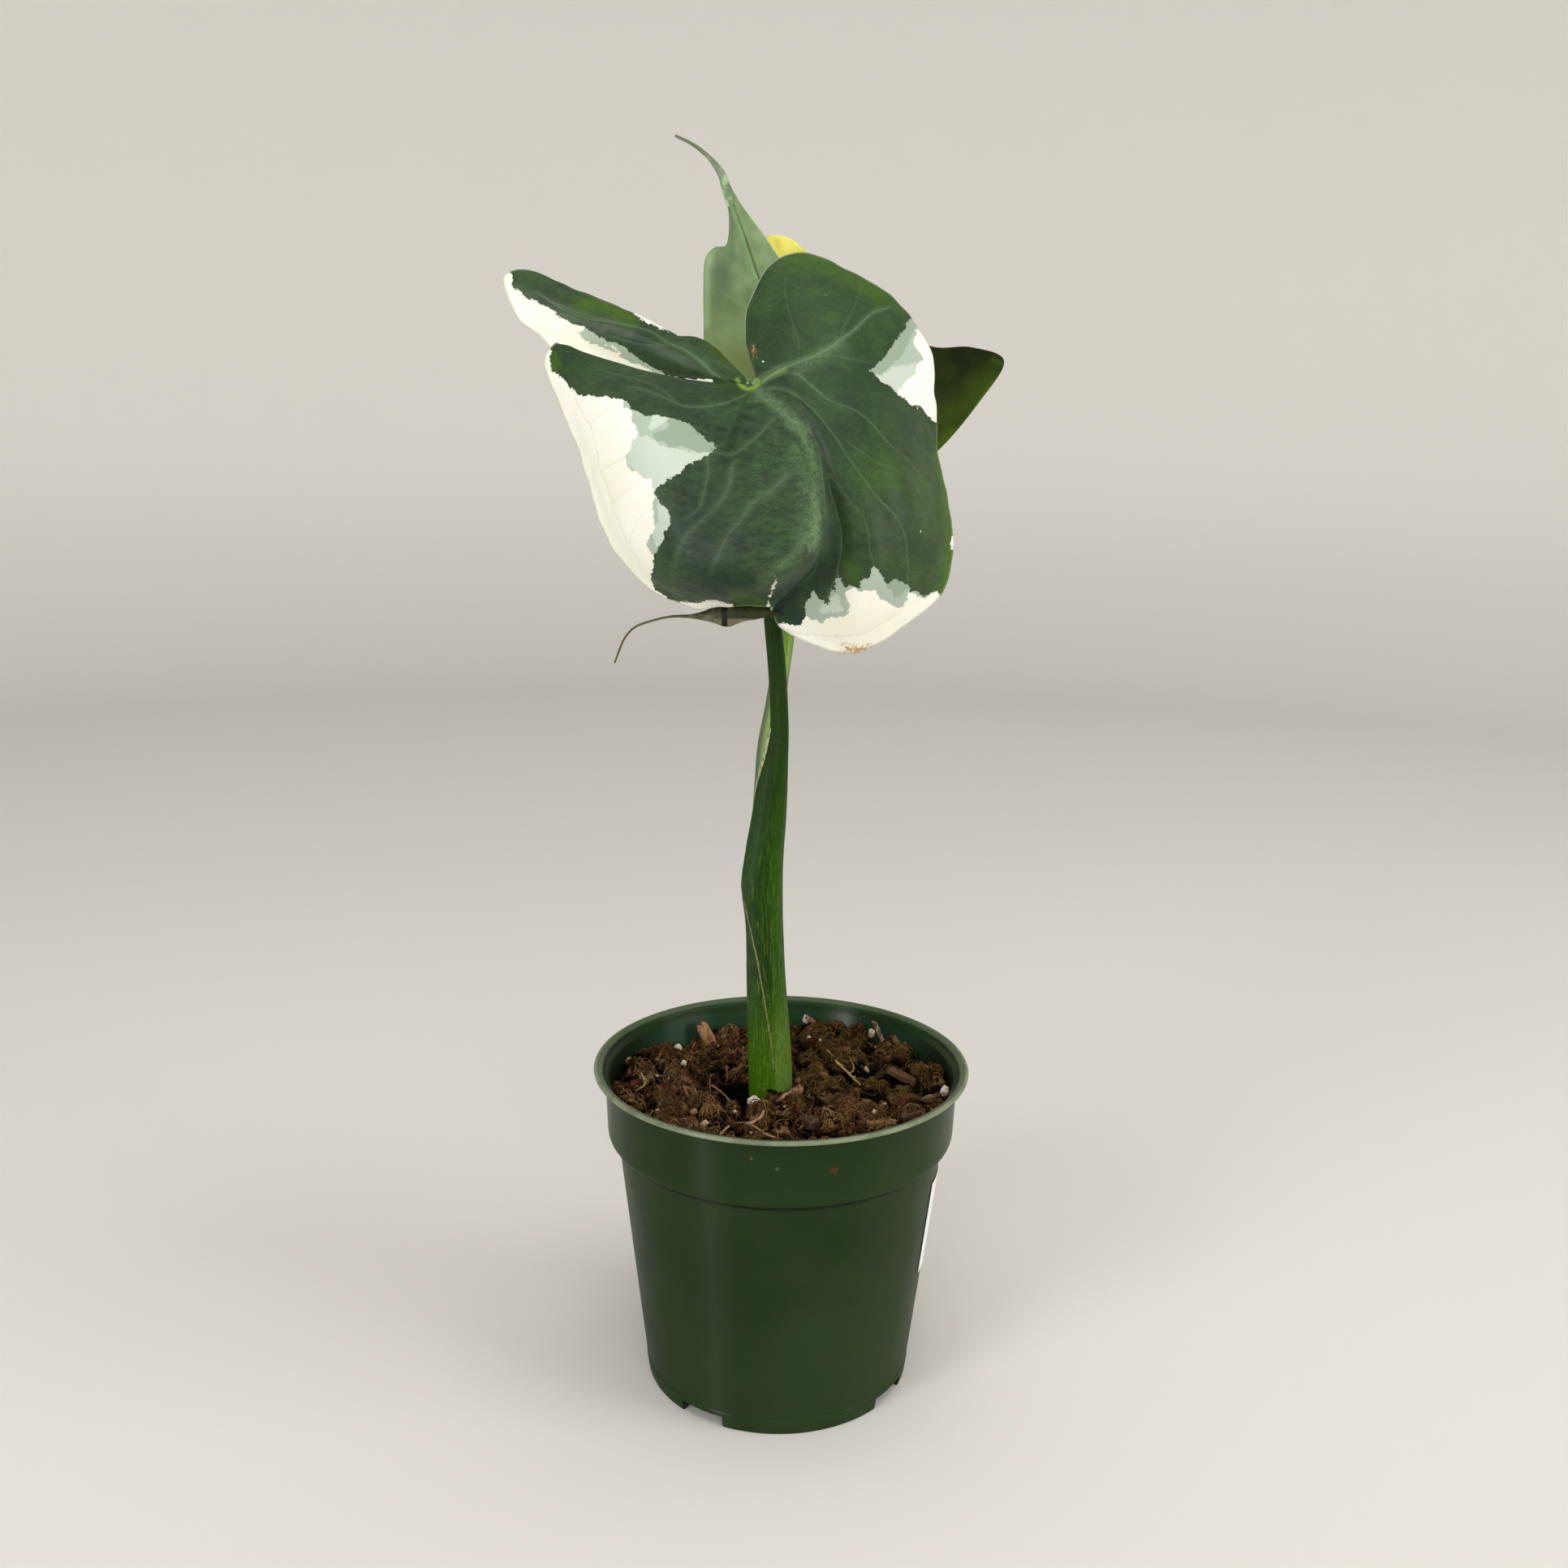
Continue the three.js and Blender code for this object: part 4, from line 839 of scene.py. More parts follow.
# Back leaf: younger, its underside to the front
backLeaf = {
    "junction": (4, 24, 265), "perSpoke": 14, "rows": 76, "thickness": 0.55,
    "relief": {"size": 8, "swell": 0.5, "sink": 0.25},
    "spokes": {
        "sinusLeft": [(2.5, 24, 263), (0.5, 22, 259), (-1, 20, 254)],
        "lobeTipL": [(-1, 23, 260), (-7.5, 20, 253), (-12, 17, 244)],
        "lobeOutL": [(-3.5, 24, 262), (-14, 22, 258.5), (-22.5, 21, 255)],
        "left1": [(-4.5, 25, 265), (-15.5, 26, 270.5), (-26, 28, 273.5)],
        "left2": [(-4, 26, 270), (-16, 28, 283), (-24.5, 31, 291)],
        "left3": [(-3, 26, 274.5), (-15, 28, 294), (-24.5, 31, 305)],
        "left4": [(-2, 26, 277.5), (-14, 27, 301), (-24, 30, 313.5)],
        "shoulder": [(-2, 26, 279), (-13, 27, 304.5), (-21.5, 29, 316.5)],
        "neckL1": [(-1.5, 26, 280), (-12, 26, 307), (-18, 28, 317.5)],
        "neckL2": [(-1, 26, 281.5), (-11.5, 26, 309), (-17.5, 27, 325.5)],
        "tipL": [(-1, 26, 282), (-10.5, 26, 310), (-19.5, 26, 332.5)],
        "midrib": [(-0.5, 27, 282.5), (-10, 27, 310.5), (-19, 26, 334)],
        "tipR": [(0, 26, 282.5), (-9, 26, 310), (-18, 26, 333)],
        "neckR1": [(0.5, 26, 282.5), (-7.5, 26, 309), (-14, 26, 327)],
        "neckR2": [(1.5, 26, 282), (-5, 26, 307), (-8.5, 25, 320)],
        "edgeR": [(2.5, 26, 281.5), (-2.5, 26, 304.5), (-3, 24, 312.5)],
        "rolled1": [(3.5, 28, 281.5), (-0.5, 30, 305), (-7.5, 31, 319.5)],
        "rolled2": [(4, 28, 281.5), (1.5, 32, 305), (-2, 33, 320)],
        "rolled3": [(5, 28, 281), (5, 33, 303), (3.5, 34, 316.5)],
        "right1": [(7, 28, 280), (12, 33, 297), (13, 35, 309)],
        "right2": [(9.5, 28, 277.5), (19.5, 32, 290.5), (25.5, 36, 298.5)],
        "right3": [(13.5, 28, 273.5), (26, 32, 284.5), (39, 37, 292)],
        "right4": [(17, 28, 271), (32.5, 32, 281.5), (50.5, 38, 292)],
        "lobeTipR": [(19, 27, 268.5), (35, 31, 276.5), (60, 40, 288.5)],
        "lobeOutR": [(18.5, 27, 265.5), (33.5, 30, 270.5), (53, 37, 277)],
        "right5": [(17, 26, 263), (29.5, 28, 264), (42, 33, 264)],
        "right6": [(14, 25, 261), (22, 26, 257.5), (28.5, 28, 253.5)],
        "right7": [(10, 24, 261.5), (14, 24, 257), (17.5, 24, 250.5)],
        "sinusRight": [(6, 24, 263), (7, 23, 260), (8.5, 22, 255.5)],
    },
}
backVeins = {
    "midrib": ([(992, 545), (975, 480), (950, 400), (930, 351), (914, 293), (904, 262), (898, 236)],
               0.9, 0.35, 1.0),
    "left1": ([(944, 388), (915, 380), (890, 360), (875, 340)], 0.35, 0.2, 0.5),
    "left2": ([(958, 425), (925, 425), (895, 410), (872, 395)], 0.35, 0.2, 0.5),
    "left3": ([(975, 480), (935, 470), (900, 458)], 0.4, 0.2, 0.4),
    "right1": ([(936, 366), (948, 345), (956, 330)], 0.3, 0.2, 0.4),
    "lobe1": ([(992, 545), (1060, 505), (1120, 480), (1170, 462), (1215, 452)], 0.7, 0.3, 0.8),
    "lobe2": ([(1130, 478), (1165, 488), (1195, 486)], 0.3, 0.2, 0.5),
    "lobe3": ([(1110, 484), (1150, 508), (1178, 515)], 0.3, 0.2, 0.5),
}
backMarks = {
    "olive": [([(905, 440), (925, 470)], 40, 1.0), ([(890, 390), (930, 400)], 22, 0.4)],
    "shade": [([(888, 330), (893, 350)], 11, 0.9), ([(905, 318), (915, 322)], 8, 0.6),
              ([(915, 300), (920, 330)], 8, 0.4), ([(884, 372), (900, 380)], 9, 0.4),
              ([(878, 402), (900, 400)], 7, 0.4), ([(895, 200), (900, 240)], 5, 0.4)],
    "pale": [([(874, 315), (871, 345), (871, 400)], 5, 0.9), ([(935, 290), (948, 305), (950, 320)], 9, 0.7),
             ([(905, 262), (915, 292), (930, 340)], 5, 0.5), ([(900, 410), (925, 425)], 14, 0.35)],
    # fresh: painted light, the far lobe's lower margin glowing as if lit through from behind
    "fresh": [([(1148, 520), (1190, 500), (1222, 470)], 22, 0.5), ([(1155, 552), (1172, 536)], 14, 0.9),
              ([(1172, 536), (1190, 524), (1208, 496), (1222, 474)], 8, 1.0),
              ([(1224, 444), (1236, 450)], 4, 0.6)],
}


def buildBackLeaf():
    leaf = backLeaf
    places, turn, reach, normals = leafGrid(leaf)
    everywhere = np.ones(reach.shape, bool)
    vein, sides, masks = veinField(places, normals, backVeins, lambda name: everywhere)
    places = swollen(places, normals, reach, vein, leaf["relief"])
    pixels, _ = toPhoto(places.reshape(-1, 3))
    curl = spokeBand(leaf, turn, ("edgeR", 0.3, 0.9), ("right1", 0.6, -0.2))
    names = list(leaf["spokes"])
    # the far lobe is painted dark green, partly its own colour and partly painted shade
    lobe = smoothStep(names.index("right1"), names.index("right3"), turn)
    attributes = {"vein": vein, "veinSide": sides, "veinMask": masks,
                  "yellow": curl * smoothStep(0.5, 0.75, reach), "dark": lobe}
    for key, marks in backMarks.items():
        attributes[key] = softMarks(pixels, marks).reshape(reach.shape)
    return gridMesh("backLeafBlade", places, attributes, flip=True)


backColours = palette(
    under=(132, 154, 106), underDeep=(102, 124, 84), olive=(128, 144, 84), shade=(74, 92, 66),
    pale=(160, 184, 136), vein=(96, 134, 80), dark=(15, 26, 0), darkSoft=(31, 44, 2), fresh=(64, 86, 8),
    yellow=(228, 220, 112), yellowDeep=(200, 190, 70), upper=(46, 70, 40), upperLight=(72, 100, 50))


def buildBackUnder(tree, position):
    tones, vein = backColours, attribute(tree, "vein")
    veinShare = calc(tree, "MAXIMUM", times(tree, vein, 0.4), times(tree, veinLines(tree), 0.7))
    green = paint(tree, blotched(tree, position, 70.0, tones["underDeep"], tones["under"]),
                  (mark(tree, "olive", 0.8), tones["olive"]), (mark(tree, "shade", 0.7), tones["shade"]),
                  (mark(tree, "pale", 0.6), tones["pale"]), (veinShare, tones["vein"]))
    # the far lobe's dark green is partly its own and partly painted shade
    lobe = blotched(tree, position, 90.0, tones["dark"], tones["darkSoft"])
    # the lobe's lower margin glows as painted light
    lobe = paint(tree, lobe, (mark(tree, "fresh", 0.9), tones["fresh"]))
    curl = blotched(tree, position, 160.0, tones["yellowDeep"], tones["yellow"])
    tone = paint(tree, green, (attribute(tree, "dark"), lobe), (attribute(tree, "yellow"), curl))
    height = plus(tree, grain(tree, position, 420.0, 4.0), times(tree, vein, 0.6))
    rough = ramp(tree, attribute(tree, "dark"), 0.0, 1.0, 0.5, 0.72)
    return {"Base Color": tone, "Roughness": rough, "Normal": bumpFrom(tree, height, 0.0002, 0.4)}


def buildBackUpper(tree, position):
    green = blotched(tree, position, 50.0, backColours["upper"], backColours["upperLight"])
    tone = paint(tree, green, (mark(tree, "vein", 0.5), leafColours["vein"]),
                 (times(tree, veinLines(tree), 0.6), leafColours["vein"]),
                 (attribute(tree, "yellow"), backColours["yellow"]))
    return {"Base Color": tone, "Normal": bumpFrom(tree, grain(tree, position, 520.0, 5.0), 0.0002, 0.3)}


def buildBackRim(tree, position):
    # the far lobe's rim takes the glowing green as painted light
    tone = paint(tree, backColours["pale"], (attribute(tree, "dark"), backColours["fresh"]),
                 (attribute(tree, "yellow"), backColours["yellow"]))
    return {"Base Color": tone}


backUpper = makeMaterial("backLeafUpper", buildBackUpper, Roughness=0.42, Specular_IOR_Level=0.45)
backUnder = makeMaterial("backLeafUnder", buildBackUnder, Specular_IOR_Level=0.1, **leafGlow)
backRim = makeMaterial("backLeafRim", buildBackRim, Roughness=0.5)
backBlade = linkPiece("backLeafBlade", buildBackLeaf(), backUpper, ["leaf_back"])
thicken(backBlade, backLeaf["thickness"], backUnder, backRim)
print("back leaf built")

# Tails: the front one is the rolled leaf tip, the back one a thread that points up
tails = {
    "frontTail": {"sides": 24, "steps": 200, "level": (0, 1, 0), "sections": [
        (-1.5, -26.4, 222.8, 0.3, 0.3), (-5.8, -26.8, 223.3, 0.8, 1.3), (-8.4, -27, 223.3, 1.2, 1.9),
        (-11, -27, 223.1, 1.5, 2.1), (-13.6, -26.8, 222.7, 1.8, 2.6), (-15.4, -26.6, 222.3, 1.7, 2.8),
        (-18, -26.3, 222.4, 1.3, 2.2), (-20.7, -26, 222.1, 0.9, 1.3), (-24.4, -25.6, 221.9, 0.5, 0.5),
        (-29.2, -25, 221.7, 0.3, 0.3), (-34.2, -24.2, 220.5, 0.27, 0.27), (-38.6, -23, 218.7, 0.26, 0.26),
        (-41.2, -22, 215.9, 0.25, 0.25), (-43, -21, 212, 0.24, 0.24), (-44.1, -20.3, 209.2, 0.2, 0.2)]},
    "backTail": {"sides": 16, "steps": 100, "level": (1, 0, 0), "sections": [
        (-16.5, 26.3, 327, 1.6, 0.6), (-18.3, 26.2, 331.5, 1.3, 0.6), (-19.3, 26.2, 334.5, 1.1, 0.6),
        (-21.5, 26.5, 337.5, 0.8, 0.5), (-24, 26.8, 340, 0.55, 0.45), (-27.5, 27, 342.5, 0.45, 0.4),
        (-32, 27, 344.5, 0.35, 0.35)]},
}
tailColours = palette(
    olive=(58, 58, 28), grey=(92, 102, 74), dark=(14, 14, 6), fold=(38, 38, 14), dry=(132, 120, 98),
    thread=(84, 86, 54), back=(96, 118, 82), backTip=(92, 100, 72))


def buildFrontTail(tree, position):
    side, _, height = split(tree, position)
    mottle = ramp(tree, grain(tree, position, 420.0, 4.0, 0.6), 0.4, 0.62)
    dry = times(tree, ramp(tree, height, 0.222, 0.2214), ramp(tree, side, -0.0175, -0.0095, 0.2, 0.9))
    spot = ramp(tree, calc(tree, "ABSOLUTE", plus(tree, side, 0.0158)), 0.0011, 0.0004)
    tone = paint(tree, tailColours["olive"], (mottle, tailColours["grey"]),
                 (ramp(tree, side, -0.0165, -0.0125, 0.0, 0.85), tailColours["fold"]),
                 (dry, tailColours["dry"]), (spot, tailColours["dark"]),
                 (ramp(tree, side, -0.026, -0.031), tailColours["thread"]))
    return {"Base Color": tone, "Normal": bumpFrom(tree, grain(tree, position, 700.0, 4.0), 0.0003, 0.6)}


def buildBackTail(tree, position):
    mottle = ramp(tree, grain(tree, position, 300.0, 3.0), 0.4, 0.62)
    tone = paint(tree, tailColours["back"], (mottle, backColours["pale"]),
                 (ramp(tree, split(tree, position)[2], 0.334, 0.341), tailColours["backTip"]))
    return {"Base Color": tone, "Normal": bumpFrom(tree, grain(tree, position, 700.0, 4.0), 0.0002, 0.4)}


def tailRelief(turn, height):
    # shallow creases along the tail
    return 0.04 * np.cos(5 * turn + 0.8 * height) * np.ones_like(height)


def buildTail(name, material):
    tail = tails[name]
    places, _ = tubePlaces(tail["sections"], tail["sides"], tail["steps"], tailRelief, tail["level"])
    mesh = gridMesh(name, places)
    closeEnds(mesh)
    linkPiece(name, mesh, material)


buildTail("frontTail", makeMaterial("frontTail", buildFrontTail, Roughness=0.6, Specular_IOR_Level=0.15))
buildTail("backTail", makeMaterial("backTail", buildBackTail, Roughness=0.5))
print("tails built")

# Petioles: the outer one's sheath wraps the inner one, which leaves it on the left
petioles = {
    "sides": 64, "steps": 240,
    "edge": {"steps": 90, "across": 5, "width": 0.35, "flare": 1.0, "sunk": 0.1, "stand": 0.42,
             "thickness": 0.22},
    "outer": [
        (-2.7, 0, 76, 6.2, 5.5), (-3.2, 0, 90, 6.2, 5.4), (-3.8, 0, 103, 5.9, 5.2), (-4.6, 0, 116, 5.5, 5),
        (-5.3, 0, 133, 5.2, 4.8), (-6.1, -0.2, 145, 5.7, 4.7), (-5.5, -0.4, 154, 5.2, 4.5),
        (-4.5, -0.6, 163, 4.7, 4.1), (-3.8, -0.9, 172, 4.3, 3.7), (-2.7, -1.3, 181, 3.3, 3.1),
        (-1.9, -1.6, 190, 2.5, 2.6), (-2.6, -2.1, 204, 2.4, 2.5), (-4, -3.2, 218, 2.3, 2.4),
        (-5.7, -5.2, 235, 2.1, 2.2), (-7.9, -8.4, 255, 2, 2.1), (-9.3, -10.6, 269, 1.9, 1.9),
        (-9.95, -12.8, 278.3, 1.7, 1.6)],
    "inner": [
        (-3.4, 0.9, 84, 2.9, 2.8), (-4.6, 0.8, 116, 2.8, 2.7), (-6.4, 0.8, 145, 2.8, 2.7),
        (-6.4, 1.8, 163, 2.6, 2.6), (-5.9, 2.5, 174, 2.6, 2.6), (-5.2, 3.2, 184, 2.6, 2.6),
        (-2.9, 4.3, 197, 2.6, 2.5), (-0.5, 6.4, 215, 2.5, 2.4), (1.7, 11, 235, 2.2, 2.2),
        (3.3, 17, 251, 2, 2), (4, 23.2, 264.8, 1.7, 1.6)],
}
stemColours = palette(
    dark=(21, 46, 1), olive=(33, 61, 2), blue=(37, 62, 28), lime=(54, 91, 1), right=(42, 78, 3),
    base=(60, 100, 1), baseRight=(90, 118, 46), pale=(116, 146, 60), young=(126, 162, 56),
    youngPale=(152, 182, 84), youngEdge=(84, 102, 70), tan=(118, 116, 62), sheath=(176, 188, 132))


def stemGrain(tree, wrap):
    return grain(tree, stretch(tree, wrap, (1.0, 1.0, 0.05)), 18.0, 4.0, 0.6)


def buildOuterStem(tree, position):
    wrap, tones = attribute(tree, "wrap", "Vector"), stemColours
    right, _, height = split(tree, wrap)
    stripes = useGroup(tree, stemStripes, Wrap=wrap, Count=5.0)
    finer = useGroup(tree, stemStripes, Wrap=wrap, Count=14.0)
    middle = times(tree, ramp(tree, height, 190.0, 150.0), ramp(tree, height, 88.0, 112.0))
    # painted reflection: a grey-blue sheen down the left side; painted light: the right side lighter
    paintedLeftSheen = times(tree, ramp(tree, right, -0.15, -0.6), middle, 0.85)
    paintedRightLight = times(tree, ramp(tree, right, 0.0, 0.7), middle, 0.7)
    low = times(tree, ramp(tree, height, 122.0, 92.0), 0.85)
    # the base's right side is painted lighter as painted light
    lowTone = paint(tree, tones["base"], (ramp(tree, right, 0.1, 0.45), tones["baseRight"]))
    faint = times(tree, ramp(tree, finer, 0.6, 1.0), ramp(tree, height, 200.0, 100.0), 0.35)
    edge = times(tree, ramp(tree, right, -0.9, -0.98), ramp(tree, height, 175.0, 150.0), 0.7)
    tone = paint(tree, tones["dark"], (stripes, tones["olive"]), (paintedLeftSheen, tones["blue"]),
                 (paintedRightLight, tones["right"]), (low, lowTone), (faint, tones["pale"]), (edge, tones["lime"]))
    tone = shadeBy(tree, tone, ramp(tree, grain(tree, position, 1500.0, 3.0), 0.3, 0.7, 0.8, 1.15))
    return {"Base Color": tone, "Normal": bumpFrom(tree, stemGrain(tree, wrap), 0.0003, 0.5)}


def buildInnerStem(tree, position):
    wrap, tones = attribute(tree, "wrap", "Vector"), stemColours
    right, _, height = split(tree, wrap)
    stripes = useGroup(tree, stemStripes, Wrap=wrap, Count=6.0)
    leftEdge = times(tree, ramp(tree, right, -0.2, -0.7), ramp(tree, height, 222.0, 200.0))
    rightEdge = times(tree, ramp(tree, right, 0.6, 0.95), 0.7)
    tone = paint(tree, tones["young"], (stripes, tones["youngPale"]), (leftEdge, tones["youngEdge"]),
                 (rightEdge, tones["youngEdge"]))
    return {"Base Color": tone, "Normal": bumpFrom(tree, stemGrain(tree, wrap), 0.0003, 0.4)}


def outerRelief(turn, height):
    # shallow lengthwise ribs, and the sheath's overlapping edge down the front of the stem
    ribs = 0.05 * np.cos(9 * turn) + 0.04 * np.cos(23 * turn + 1)
    fade = smoothStep(210, 150, height)
    beyond = np.angle(np.exp(1j * (turn - np.radians(sheathTurn(height)))))
    step = smoothStep(0, 0.25, beyond) * smoothStep(1.6, 0.4, beyond)
    return ribs * (0.4 + fade) + 0.28 * step * smoothStep(172, 160, height) * smoothStep(88, 100, height)


# Height in millimetres and turn in degrees along the sheath's free edge
sheathLine = [(92, -78), (98, -80), (105, -86), (115, -96), (125, -112), (133, -132), (140, -152),
              (146, -170), (156, -186), (166, -196), (172, -178), (178, -166), (184, -158), (190, -150)]


def sheathTurn(height):
    heights, turns = zip(*sheathLine)
    return np.interp(height, heights, turns)


def buildPetiole(name, sections, material, replaced, relief=None):
    places, wrap = tubePlaces(sections, petioles["sides"], petioles["steps"], relief)
    mesh = gridMesh(name, places, {"wrap": wrap}, weld=2e-5)
    closeEnds(mesh)
    linkPiece(name, mesh, material, [replaced])


outerStem = makeMaterial("outerPetiole", buildOuterStem, Roughness=0.42, Specular_IOR_Level=0.08)
innerStem = makeMaterial("innerPetiole", buildInnerStem, Roughness=0.42, Specular_IOR_Level=0.2)
buildPetiole("outerPetiole", petioles["outer"], outerStem, "petiole_front", outerRelief)
buildPetiole("innerPetiole", petioles["inner"], innerStem, "petiole_back")


def buildSheath(tree, position):
    high = ramp(tree, attribute(tree, "height"), 160.0, 172.0)
    tone = paint(tree, stemColours["tan"], (high, stemColours["sheath"]))
    dull = ramp(tree, grain(tree, position, 900.0, 3.0), 0.35, 0.65, 0.1, 0.75)
    return {"Base Color": paint(tree, tone, (dull, stemColours["olive"]))}


def buildSheathEdge():
    # the pale free margin of the sheath, thin and upright near the top, and a dry line lower down
    edge = petioles["edge"]
    heights = np.linspace(sheathLine[0][0], sheathLine[-1][0], edge["steps"])
    track = np.array(petioles["outer"], float)
    widths = edge["width"] + edge["flare"] * smoothStep(166, 182, heights) * smoothStep(191, 186, heights)
    rows = []
    for height, wide in zip(heights, widths):
        x, y, _, halfX, halfY = [np.interp(height, track[:, 2], track[:, k]) for k in range(5)]
        turn = math.radians(sheathTurn(height))
        out = np.array([math.cos(turn), math.sin(turn), 0])
        skin = np.array([x + math.cos(turn) * halfX, y + math.sin(turn) * halfY, height]) - edge["sunk"] * out
        aside = np.array([math.sin(turn), -math.cos(turn), 0])
        shares = np.linspace(-0.3, 1, edge["across"])
        rows.append([skin + aside * wide * s + out * edge["stand"] * (0.4 + wide * s * 0.5) for s in shares])
    mesh = gridMesh("sheathEdge", np.array(rows), {"height": np.repeat(heights[:, None], edge["across"], 1)})
    piece = linkPiece("sheathEdge", mesh, makeMaterial("sheathEdge", buildSheath, Roughness=0.5))
    thicken(piece, edge["thickness"])


buildSheathEdge()
print("petioles built")

# Pot
potSize = {
    "rimRadius": 53, "height": 93.4, "baseRadius": 37.9, "bodyTopRadius": 46.2, "bodyTop": 71.8,
    "bandRadius": 49.2, "bandTopRadius": 49.8, "lipUnderside": 92.2, "wall": 1.2, "floorUnderside": 3,
    "floorTop": 4.2, "footRingInner": 34.8, "centrePadRadius": 7, "steps": 200,
    "drainCount": 4, "drainFirst": -33, "drainWidth": 13.4, "drainHeight": 3.4, "holeInner": 30.5,
    "holeOuter": 35.6, "sharpFrom": 32,
}
potColours = palette(
    green=(30, 47, 20), greenLight=(38, 55, 27), lip=(82, 96, 70), lipEdge=(130, 138, 112), line=(18, 30, 13),
    scuff=(84, 96, 74), tan=(132, 112, 76), rust=(84, 50, 36), inner=(4, 15, 0), innerBack=(34, 58, 38))
# Marks on the pot: centre and radius in millimetres, and colour
potMarks = {
    "tanSpeck": ((-7.5, -49.6, 87), 1.0, "tan"), "scratch": ((-0.6, -49.6, 84.5), 0.8, "scuff"),
    "redSmudge": ((14, -47.7, 83.5), 1.7, "rust"),
    "gateSpeck": ((1.5, -38.3, 11), 0.7, "scuff"),
}


def potProfile():
    s = potSize
    pad, ring, base, body = s["centrePadRadius"], s["footRingInner"], s["baseRadius"], s["bodyTopRadius"]
    band, bandTop, rim, wall = s["bandRadius"], s["bandTopRadius"], s["rimRadius"], s["wall"]
    floor, bodyTop, under, top = s["floorUnderside"], s["bodyTop"], s["lipUnderside"], s["height"]
    return [
        (0, 0), (pad, 0), (pad + 1.2, floor), (ring, floor), (ring + 0.4, 0), (base - 0.6, 0),
        (base - 0.2, 0.15), (base, 0.6), (base + 0.52, 4.6), (base + 0.36, 4.9), (base + 0.48, 5.3),
        (body, bodyTop), (body + 0.15, bodyTop + 0.25), (band - 1.3, bodyTop + 1.0),
        (band - 0.75, bodyTop + 1.45), (band - 0.35, bodyTop + 2.05), (band - 0.1, bodyTop + 2.9),
        (band, bodyTop + 4), (bandTop, under - 1.2), (bandTop + 0.3, under - 0.3), (bandTop + 1.2, under),
        (rim - 0.5, under), (rim - 0.1, under + 0.2), (rim, under + 0.6), (rim - 0.15, top - 0.25),
        (rim - 0.6, top), (rim - 1.5, top - 0.05), (rim - 2.1, top - 0.35), (rim - 2.5, top - 0.9),
        (rim - 3.3, top - 1.9), (bandTop - wall, top - 3.6), (band - wall, bodyTop + 3),
        (band - wall - 0.9, bodyTop + 1.2), (body - wall, bodyTop - 0.6), (base - wall + 0.4, s["floorTop"]),
        (0, s["floorTop"]),
    ]


def buildPot():
    bm = revolve(potProfile(), potSize["steps"])
    bmesh.ops.recalc_face_normals(bm, faces=bm.faces)
    return cutDrains(meshFrom(bm, "potShell"))


def cutDrains(mesh):
    s = potSize
    bm = bmesh.new()
    for k in range(s["drainCount"]):
        turn = Matrix.Rotation(math.radians(s["drainFirst"] + 360 * k / s["drainCount"]), 4, "Z")
        # the notch through the foot ring, and the hole through the floor
        for width, low, high, near, far in (
            (s["drainWidth"], -1, s["drainHeight"], s["holeOuter"] - 4, s["holeOuter"] + 8),
            (s["drainWidth"] - 2, -0.5, s["floorTop"] + 1, s["holeInner"], s["holeOuter"]),
        ):
            place = Matrix.Translation(Vector((0, -(near + far) / 2, (low + high) / 2)) * mm)
            size = Matrix.Diagonal(Vector((width, far - near, high - low)) * mm).to_4x4()
            bmesh.ops.create_cube(bm, size=1, matrix=turn @ place @ size)
    shell, cutter = linkObject("potShell", mesh), linkObject("drainCutter", meshFrom(bm, "drainCutter"))
    cut = shell.modifiers.new("drains", "BOOLEAN")
    cut.object, cut.operation, cut.solver, cut.use_self = cutter, "DIFFERENCE", "EXACT", True
    view = bpy.context.evaluated_depsgraph_get()
    done = bpy.data.meshes.new_from_object(shell.evaluated_get(view))
    for item in (shell, cutter):
        bpy.data.objects.remove(item)
    return done


